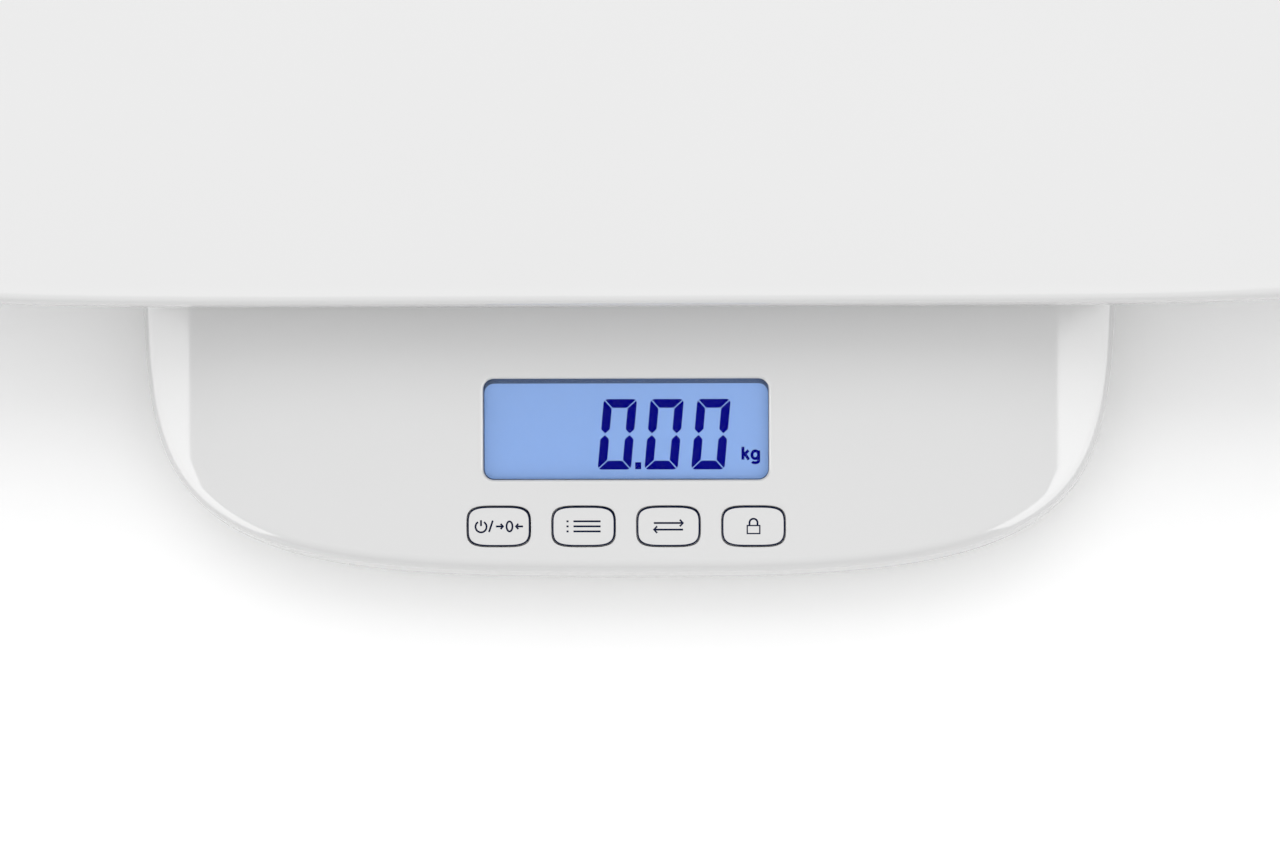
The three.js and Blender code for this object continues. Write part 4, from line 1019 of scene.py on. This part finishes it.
bore_levels = mouth_levels(floor_bottom, guide_top + cut_overrun, mouth_radius)
for place in post_places:
    cuts.append(stacked(circle_outline(guide_bore, place), bore_levels))
recess_levels = mouth_levels(floor_bottom, foot_recess_top, mouth_radius / 2)
for place in foot_places:
    cuts.append(stacked(circle_outline(foot_radius + fit_gap, place), recess_levels))
boolean(tub_moulding, "UNION", *raised)
boolean(tub_moulding, "DIFFERENCE", bay_hollow)
boolean(tub_moulding, "DIFFERENCE", *cuts)
belongs(tub_moulding, "housing", "satin_white", "lower_housing")

# Feet
# Four soft grey rubber discs, turned, pressed into the floor's recesses. A rounded edge and two
# shallow grooves round the sole help them grip.
corner_names = ("front_left", "rear_left", "front_right", "rear_right")
foot_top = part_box("foot_front_left")[1].z
foot_corner = 0.0003
sole_edge = 0.0015
sole_groove_radii = (0.0045, 0.0068)
sole_groove_depth = 0.0005
sole_groove_width = 0.0006
axis_radius = 0.0004
nearly_half = 0.49


def rounded_profile(points, corner, steps=3):
    """A profile with each of its inner corners rounded, by `corner` or what its sides allow."""
    points = [Vector(point) for point in points]
    made = [points[0]]
    for before, here, after in zip(points, points[1:], points[2:]):
        shorter = min((before - here).length, (after - here).length)
        reach = min(corner, shorter * nearly_half)
        start = here + (before - here).normalized() * reach
        end = here + (after - here).normalized() * reach
        for i in range(steps + 1):
            t = i / steps
            made.append(start * (1 - t) ** 2 + here * 2 * t * (1 - t) + end * t**2)
    return [*made, points[-1]]


def turned(profile, corner, matrix=None, count=48):
    """A solid turned about Z from (radius, height) points, with its edges rounded by `corner`."""
    return stacked(circle_outline(0.0, count=count), rounded_profile(profile, corner), matrix)


rubber = plastic(
    "grey_rubber", (0.085, 0.09, 0.10), roughness=0.75, drift=0.22, ripple=0.6, grain=1500.0
)
foot_profile = [(axis_radius, 0.0)]
for groove_radius in sole_groove_radii:
    inner, outer = groove_radius - sole_groove_width, groove_radius + sole_groove_width
    foot_profile += [(inner, 0.0), (inner, sole_groove_depth)]
    foot_profile += [(outer, sole_groove_depth), (outer, 0.0)]
foot_profile += [(foot_radius - sole_edge, 0.0), (foot_radius, sole_edge)]
foot_profile += [(foot_radius, foot_top), (axis_radius, foot_top)]
for corner_name, place in zip(corner_names, foot_places):
    foot_shape = turned(foot_profile, foot_corner, Matrix.Translation((*place, 0.0)), 64)
    foot = mesh_object(f"foot_{corner_name}_pad", foot_shape, rubber)
    belongs(foot, "housing", "rubber", f"foot_{corner_name}")

# Battery door
# A flat satin white lid, flush with the floor. It hooks in by two tabs at the back; in front two
# slots free a springy latch with three finger grooves and a nib on its inner side.
door_low, door_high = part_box("battery_door")
door_top = 0.007
door_front = door_low.y
door_rear = -0.06164
door_corner = 0.0006
door_edge = 0.0003
joint_overlap = 0.001
joint_bottom = door_top - joint_overlap
latch_width = 0.016
latch_length = 0.012
latch_slot = 0.0012
latch_slot_corner = 0.00055
nib_top = 0.009
nib_corner = 0.0003
finger_groove_depth = 0.0006
finger_groove_width = 0.0012
finger_groove_pitch = 0.0026
finger_groove_edge = 0.0002
tab_reach = 0.018
tab_size = Vector((0.010, door_high.y - door_rear))
tab_bottom = 0.0078
tab_corner = 0.0006
tab_root_depth = 0.005
tab_root_overlap = 0.0007
tab_root_corner = 0.0004
tab_root_edge = 0.0002

door_size = (door_high.x - door_low.x, door_rear - door_front)
door_middle = ((door_low.x + door_high.x) / 2, (door_front + door_rear) / 2)
door_levels = plate_levels(floor_bottom, door_top, door_edge)
door_shape = slab(door_size, door_corner, door_levels, door_middle, 4)
door = mesh_object("door_moulding", door_shape, white_satin)
roots = []
tabs = []
cuts = []
for side in (-1, 1):
    size = (tab_size.x, tab_root_depth)
    place = (side * tab_reach, door_rear - tab_root_depth / 2)
    top = tab_bottom + tab_root_overlap
    roots.append(box_shape(size, place, joint_bottom, top, tab_root_corner, tab_root_edge))
    size = (tab_size.x, tab_size.y + tab_root_depth)
    place = (side * tab_reach, door_high.y - size[1] / 2)
    tabs.append(box_shape(size, place, tab_bottom, door_high.z, tab_corner))
    size = (latch_slot, latch_length + cut_overrun)
    place = (side * (latch_width + latch_slot) / 2, door_front + (latch_length - cut_overrun) / 2)
    low, high = floor_bottom - cut_overrun, door_top + cut_overrun
    cuts.append(box_shape(size, place, low, high, latch_slot_corner, edge=0.0))
nib_place = (0.0, door_front + latch_slot / 2)
nib = box_shape((latch_width, latch_slot), nib_place, joint_bottom, nib_top, nib_corner)
groove_size = (latch_width - 2 * finger_groove_width, finger_groove_width)
groove_bottom = floor_bottom + finger_groove_depth
groove_levels = mouth_levels(floor_bottom, groove_bottom, finger_groove_edge)
groove_levels[0] = (-finger_groove_edge, groove_bottom + finger_groove_edge / 2)
for i in (-1, 0, 1):
    place = (0.0, door_front + latch_length / 2 + i * finger_groove_pitch)
    cuts.append(slab(groove_size, groove_size[1] * nearly_half, groove_levels, place, 4))
boolean(door, "UNION", *roots, nib)
boolean(door, "UNION", *tabs)
boolean(door, "DIFFERENCE", *cuts)
belongs(door, "door", "satin_white", "battery_door")

# Screws and bolts
# Zinc-plated steel: cross-headed screws for the pan, the board and the housing, and hexagon socket
# bolts for the load cell. Their threads are rings, and their heads and recesses are softened.
thread_depth_share = 0.14
recess_depth_share = 0.5
domed_head_shares = ((0.35, 1.0), (0.75, 0.93), (1.0, 0.6))
screw_edge_share = 0.08
screw_thread_share = 0.4
screw_tip_share = 0.12
cross_length_share = 1.2
cross_width_share = 0.3
cross_taper_share = 0.06
cross_corner_share = 0.1
bolt_centre_share = 0.3
bolt_edge_share = 0.1
bolt_plain_share = 0.3
bolt_thread_share = 0.35
bolt_thread_end_share = 0.5
bolt_tip_share = 0.7


def metal(name, colour, roughness, grain, drift=0.08):
    """Bare metal: fine streaks along `grain` vary its tone, its gloss and its surface."""
    finish = Finish(name, {"Metallic": 1.0})
    streaks = finish.noise(scale=1.0, detail=3.0, stretch=grain)
    finish.tone(streaks, colour, drift)
    finish.gloss(streaks, roughness * 0.8, roughness * 1.25)
    finish.relief(streaks, strength=0.25, height=0.00003)
    return finish.material


zinc = metal("zinc_plated_steel", (0.55, 0.56, 0.58), roughness=0.30, grain=(700.0, 700.0, 700.0))


def thread(radius, start, end, pitch):
    """A shank's profile between two heights, with a ridge for each turn of its thread."""
    root = radius * (1 - thread_depth_share)
    turns = max(int((end - start) / pitch), 1)
    points = []
    for i in range(turns):
        z = start + (end - start) * i / turns
        points += [(root, z), (radius, z + (end - start) / turns / 2)]
    return points


def cross_screw(grip, radius, head_radius, head_height, pitch):
    """A cross-headed screw: its head hangs below z = 0 and its shank points up."""
    head = [(head_radius * across, -head_height * down) for across, down in domed_head_shares]
    head += [(head_radius, 0.0), (radius, 0.0)]
    shank = thread(radius, radius * screw_thread_share, grip - radius, pitch)
    tip = (radius * screw_tip_share, grip)
    shape = turned([*head, *shank, tip], head_height * screw_edge_share, count=32)
    piece = mesh_object("screw_model", shape, zinc)
    depth = head_height * recess_depth_share
    for size in ((cross_length_share, cross_width_share), (cross_width_share, cross_length_share)):
        bottom = (-head_radius * cross_taper_share, depth - head_height)
        levels = [bottom, (0.0, -head_height - cut_overrun)]
        slot = slab(Vector(size) * head_radius, head_radius * cross_corner_share, levels, steps=2)
        boolean(piece, "DIFFERENCE", slot)
    return piece


def socket_bolt(grip, radius, head_radius, head_height, pitch):
    """A socket-headed bolt, the same way up."""
    head = [(head_radius * bolt_centre_share, -head_height), (head_radius, -head_height)]
    head += [(head_radius, 0.0), (radius, 0.0), (radius, grip * bolt_plain_share)]
    thread_end = grip - radius * bolt_thread_end_share
    shank = thread(radius, grip * bolt_thread_share, thread_end, pitch)
    tip = (radius * bolt_tip_share, grip)
    shape = turned([*head, *shank, tip], head_height * bolt_edge_share, count=40)
    piece = mesh_object("bolt_model", shape, zinc)
    levels = [(0.0, -head_height * recess_depth_share), (0.0, -head_height - cut_overrun)]
    boolean(piece, "DIFFERENCE", stacked(circle_outline(radius, count=6), levels))
    return piece


def placed(model, name, place, body, slot):
    """A copy of a model set in the place of a CAD node."""
    belongs(copied(model, f"{name}_piece", place), body, slot, name)


def screws(model, kind, places, seat, body, around=Matrix.Identity(4)):
    """A screw at each corner, with its head's inner side at `seat`."""
    for corner_name, place in zip(corner_names, places):
        spot = around @ Matrix.Translation((*place, seat))
        placed(model, f"{kind}_{corner_name}", spot, body, "steel")
    bpy.data.objects.remove(model)


pan_screw_low, pan_screw_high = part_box("pan_screw_front_left")
pan_screw_head = 0.0026
pan_screw_seat = pan_screw_low.z + pan_screw_head
pan_screw = cross_screw(
    grip=pan_screw_high.z - pan_screw_seat, radius=0.0020,
    head_radius=0.0035, head_height=pan_screw_head, pitch=0.0010,
)
screws(pan_screw, "pan_screw", post_places, pan_screw_seat, "platform")
case_screw = cross_screw(
    grip=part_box("case_screw_front_left")[1].z - case_head_seat, radius=case_shank_radius,
    head_radius=case_head_radius, head_height=0.0020, pitch=0.0008,
)
screws(case_screw, "case_screw", case_screw_places, case_head_seat, "housing")
board_screw_seat = -0.0108
board_screw = cross_screw(
    grip=0.0061, radius=0.0013, head_radius=0.0026, head_height=0.0018, pitch=0.0007
)
screws(board_screw, "board_screw", board_screw_places, board_screw_seat, "housing", panel_place)
for kind, body, turn in (("platform_bolt", "platform", math.pi), ("cell_bolt", "housing", 0.0)):
    low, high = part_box(f"{kind}_1")
    grip = high.z - low.z - bolt_head_height
    seat = high.z - bolt_head_height if turn else low.z + bolt_head_height
    bolt = socket_bolt(grip, bolt_radius, bolt_head_radius, bolt_head_height, pitch=0.0010)
    for number in (1, 2):
        x = footprint(f"{kind}_{number}")[0].x
        place = Matrix.Translation((x, pan_centre.y, seat)) @ Matrix.Rotation(turn, 4, "X")
        placed(bolt, f"{kind}_{number}", place, body, "steel")
    bpy.data.objects.remove(bolt)

# Batteries
# Four AA cells: a printed sleeve shrunk over a bright steel can, a raised button at one end, and
# plain plus and minus signs that face the door.
cell_radius = 0.00725
cell_body = 0.0495
cell_length = 0.0505
cell_start = 0.02225
cell_height = 0.01835
cell_rows = (-0.10909, -0.09409, -0.07909, -0.06409)
bare_radius = 0.00625
button_radius = 0.00275
cell_corner = 0.00025
band_start = 0.036
plus_at = band_start + 0.0065
minus_at = 0.008
sign_reach = 0.0018
sign_width = 0.0007

sleeve_blue = plastic("sleeve_blue", (0.047, 0.102, 0.172), roughness=0.32, drift=0.10)
sleeve_pale = plastic("sleeve_pale", (0.56, 0.58, 0.60), roughness=0.30, drift=0.06)
can_steel = metal("can_steel", (0.62, 0.61, 0.58), roughness=0.28, grain=(300.0, 300.0, 900.0))
cell_profile = [
    (0.0030, 0.0), (0.0060, 0.0), (0.0061, 0.0003), (0.0064, 0.0003), (0.0066, 0.0001),
    (cell_radius, 0.0004), (cell_radius, band_start), (cell_radius, cell_body - 0.0004),
    (0.0068, cell_body), (0.0063, cell_body), (0.0061, cell_body - 0.0005),
    (0.0038, cell_body - 0.0003), (button_radius, cell_body - 0.0003),
    (button_radius, cell_length), (axis_radius, cell_length),
]
cell_shape = turned(cell_profile, cell_corner, count=56)
cell_model = mesh_object("cell_model", cell_shape, sleeve_blue)
cell_model.data.materials.append(sleeve_pale)
cell_model.data.materials.append(can_steel)
for face in cell_model.data.polygons:
    bare = math.hypot(face.center.x, face.center.y) < bare_radius
    face.material_index = 2 if bare else int(face.center.z > band_start)


def wrapped_sign(name, bars, angle, material):
    """Printed bars laid round a cell: each runs from one (along, around) point to another."""
    lines = []
    for (u0, v0), (u1, v1) in bars:
        lines.append([(u0 + (u1 - u0) * i / 8, v0 + (v1 - v0) * i / 8) for i in range(9)])
    sign = printed(name, lines, sign_width, Matrix.Identity(4), material)
    for vert in sign.data.vertices:
        along, around, height = vert.co
        turn = angle + around / cell_radius
        reach = cell_radius + height
        vert.co = (reach * math.cos(turn), reach * math.sin(turn), along)
    return sign


plus = [
    ((plus_at - sign_reach, 0.0), (plus_at + sign_reach, 0.0)),
    ((plus_at, -sign_reach), (plus_at, sign_reach)),
]
minus = [((minus_at, -sign_reach), (minus_at, sign_reach))]
for number, y in enumerate(cell_rows, start=1):
    facing = 1 if number % 2 else -1
    turn = Matrix.Rotation(facing * math.pi / 2, 4, "Y")
    place = Matrix.Translation((-facing * cell_start, y, cell_height)) @ turn
    placed(cell_model, f"battery_{number}", place, "housing", "battery_sleeve")
    down = 0.0 if facing > 0 else math.pi
    for sign_name, bars, ink in (("plus", plus, sleeve_blue), ("minus", minus, sleeve_pale)):
        sign = wrapped_sign(f"battery_{number}_{sign_name}", bars, down, ink)
        sign.data.transform(place)
        belongs(sign, "housing", "battery_sleeve")
bpy.data.objects.remove(cell_model)

# Battery contacts
# Nickel-plated spring steel: plates with rounded corners stand against the bay's walls and join
# the cells in pairs, with a dimple for each button and a conical spring for each flat end.
plate_thickness = 0.0005
plate_size = Vector((0.011, 0.012))
plate_corner = 0.0016
plate_edge = 0.0001
half_plate = plate_thickness / 2
contact_reach = 0.02855
spring_reach = 0.005
spring_base = 0.0040
spring_tip = 0.0024
spring_wire = 0.0005
spring_turns = 3.0
dimple_radius = 0.0020
dimple_height = 0.00022
dimple_corner = 0.0004
dimple_flat_share = 0.7
bridge_corner = 0.0005
bridge_thickness_share = 0.8
thin_axis_radius = 0.0003
contacts = {
    "contact_left_front": (-1, cell_rows[0:2]),
    "contact_left_rear": (-1, cell_rows[2:4]),
    "contact_right_front": (1, cell_rows[0:1]),
    "contact_right_middle": (1, cell_rows[1:3]),
    "contact_right_rear": (1, cell_rows[3:4]),
}

nickel = metal(
    "nickel_plate", (0.66, 0.63, 0.57), roughness=0.24, grain=(500.0, 500.0, 120.0), drift=0.05
)


def conical_spring(y):
    """A tapering helix of round wire that stands on a plate at `y`."""
    count = int(spring_turns * 20)
    points = []
    for i in range(count + 1):
        angle = 2 * math.pi * spring_turns * i / count
        radius = spring_base + (spring_tip - spring_base) * i / count
        z = spring_reach * i / count
        points.append((radius * math.cos(angle), radius * math.sin(angle), z))
    mesh = wire_mesh("spring", [points], spring_wire, Matrix.Translation((y, 0.0, half_plate)))
    spring = bmesh.new()
    spring.from_mesh(mesh)
    bpy.data.meshes.remove(mesh)
    return spring


def dimple(y):
    """A low dome on the plate at `y`."""
    top = half_plate + dimple_height
    profile = [(dimple_radius, 0.0), (dimple_radius * dimple_flat_share, top)]
    profile.append((thin_axis_radius, top))
    return turned(profile, dimple_corner, Matrix.Translation((y, 0.0, 0.0)), 32)


flat_levels = plate_levels(-half_plate, half_plate, plate_edge, 2)
half_bridge = half_plate * bridge_thickness_share
bridge_levels = plate_levels(-half_bridge, half_bridge, plate_edge, 2)
for name, (side, rows) in contacts.items():
    # The contact lies flat, with x along the bay and Z out of its wall, until it is stood up.
    shapes = []
    for y in rows:
        shapes.append(slab(plate_size, plate_corner, flat_levels, (y, 0.0), 5))
        button_end = (cell_rows.index(y) % 2 == 0) == (side > 0)
        shapes.append(dimple(y) if button_end else conical_spring(y))
    if len(rows) > 1:
        bridge_size = (rows[1] - rows[0], plate_size.y / 2)
        middle = (sum(rows) / 2, 0.0)
        shapes.append(slab(bridge_size, bridge_corner, bridge_levels, middle, 2))
    piece = mesh_object(f"{name}_piece", together(*shapes), nickel)
    stood_up = Matrix(((0, 0, -side, 0), (1, 0, 0, 0), (0, -side, 0, 0), (0, 0, 0, 1)))
    piece.data.transform(Matrix.Translation((side * contact_reach, 0.0, cell_height)) @ stood_up)
    belongs(piece, "housing", "contact_metal", name)

# Load path
# What carries the weight, all metal: a pressed base plate, a milled beam with joined bores between
# two spacers, a cast platform on top, and a silicone seal over the beam's gauges. The beam and the
# seal are sliced across the bores and kept apart from the bodies; nothing here bends them.
flex_reach = 0.0228
flex_slices = 12
weld_distance = 1e-6
flat_angle = math.radians(1.0)
bevel_angle = 0.6


def merged_copy(node_name):
    """A CAD node's shape, its flat faces each in one piece."""
    bm = bmesh.new()
    bm.from_mesh(nodes[node_name].data)
    bmesh.ops.remove_doubles(bm, verts=bm.verts, dist=weld_distance)
    bmesh.ops.dissolve_limit(
        bm, angle_limit=flat_angle, verts=bm.verts, edges=bm.edges, use_dissolve_boundaries=False
    )
    return bm


def flat_faced(piece):
    """Lets the large faces set the shading, so a flat face beside a rounded edge looks flat."""
    weighted = piece.modifiers.new("weighted", "WEIGHTED_NORMAL")
    weighted.keep_sharp = True
    mesh = evaluated_mesh(piece)
    piece.modifiers.clear()
    piece.data = mesh


def softened(name, material, radius, slot, body="housing", bends=False):
    """The CAD solid with its sharp edges rounded, in its own material."""
    bm = merged_copy(name)
    edges = [edge for edge in bm.edges if edge.is_manifold]
    corners = [edge for edge in edges if edge.calc_face_angle() > bevel_angle]
    bmesh.ops.bevel(
        bm, geom=corners, offset=radius, segments=2, profile=0.5, affect="EDGES",
        clamp_overlap=True, material=-1,
    )
    for i in range(flex_slices + 1 if bends else 0):
        slice_at = (flex_reach * (2 * i / flex_slices - 1), 0.0, 0.0)
        parts = [*bm.verts, *bm.edges, *bm.faces]
        bmesh.ops.bisect_plane(bm, geom=parts, plane_co=slice_at, plane_no=(1.0, 0.0, 0.0))
    bmesh.ops.recalc_face_normals(bm, faces=bm.faces)
    piece = mesh_object(f"{name}_piece", bm, material, sharp=40.0)
    flat_faced(piece)
    if bends:
        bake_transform(piece)
        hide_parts(name)
    else:
        belongs(piece, body, slot, name)


cast_alloy = metal(
    "cast_alloy", (0.42, 0.43, 0.44), roughness=0.50, grain=(900.0, 900.0, 900.0), drift=0.18
)
milled_alloy = metal(
    "milled_alloy", (0.58, 0.59, 0.61), roughness=0.32, grain=(60.0, 1800.0, 1800.0)
)
rolled_steel = metal(
    "rolled_steel", (0.40, 0.41, 0.42), roughness=0.34, grain=(90.0, 1500.0, 1500.0), drift=0.12
)
silicone = plastic(
    "milky_silicone", (0.74, 0.74, 0.70), roughness=0.55, drift=0.08, ripple=0.3, grain=900.0
)
softened("base_plate", rolled_steel, 0.0003, "steel")
softened("load_cell", milled_alloy, 0.0004, "beam_alloy", bends=True)
softened("lower_spacer", rolled_steel, 0.0002, "steel")
softened("upper_spacer", rolled_steel, 0.0002, "steel", "platform")
softened("load_platform", cast_alloy, 0.0004, "cast_alloy", "platform")
softened("gauge_seal", silicone, 0.0005, "silicone", bends=True)

# Display board
# Behind the panel: a green circuit board with its controller, four tactile switches with round
# plungers, and the display's black holder with a milky light guide and a rubber contact strip.
plunger_radius = 0.0017
plunger_corner = 0.0002
plunger_bottom = -0.006976
plunger_top = -0.004076

black_plastic = plastic(
    "black_plastic", (0.011, 0.011, 0.013), roughness=0.42, drift=0.3, ripple=0.3, grain=1800.0
)
light_guide = plastic("milky_light_guide", (0.80, 0.83, 0.86), roughness=0.42, drift=0.04)
solder_mask = plastic("solder_mask", (0.018, 0.115, 0.045), roughness=0.30, drift=0.35)
softened("display_board", solder_mask, 0.0001, "circuit_board")
softened("controller_chip", black_plastic, 0.00015, "black_plastic")
softened("lcd_holder", black_plastic, 0.0002, "black_plastic")
softened("lcd_backlight", light_guide, 0.0001, "milky_plastic")
softened("contact_strip", rubber, 0.0002, "rubber")
plunger_profile = [
    (thin_axis_radius, plunger_bottom), (plunger_radius, plunger_bottom),
    (plunger_radius, plunger_top), (thin_axis_radius, plunger_top),
]
plunger_shape = turned(plunger_profile, plunger_corner, count=32)
plunger = mesh_object("plunger_model", plunger_shape, black_plastic)
for name, place in zip(key_names, key_places):
    softened(f"switch_body_{name}", black_plastic, 0.00015, "black_plastic")
    placed(plunger, f"switch_plunger_{name}", on_panel(*place), f"{name}_key", "black_plastic")
bpy.data.objects.remove(plunger)

# Leads
# A grey cable from the load cell and a thinner black lead from the battery bay run to the board's
# underside. Both are rounded from their solids' plain sections.
grey_sheath = plastic(
    "grey_sheath", (0.24, 0.25, 0.26), roughness=0.55, drift=0.12, ripple=0.3, grain=2200.0
)
for name, material, slot in (
    ("load_cell_cable", grey_sheath, "cable"),
    ("battery_lead", black_plastic, "black_plastic"),
):
    lead_shape = merged_copy(name)
    bmesh.ops.recalc_face_normals(lead_shape, faces=lead_shape.faces)
    lead = mesh_object(f"{name}_piece", lead_shape, material, sharp=60.0)
    rounding = lead.modifiers.new("rounding", "SUBSURF")
    rounding.levels = rounding.render_levels = 2
    belongs(lead, "housing", slot, name)
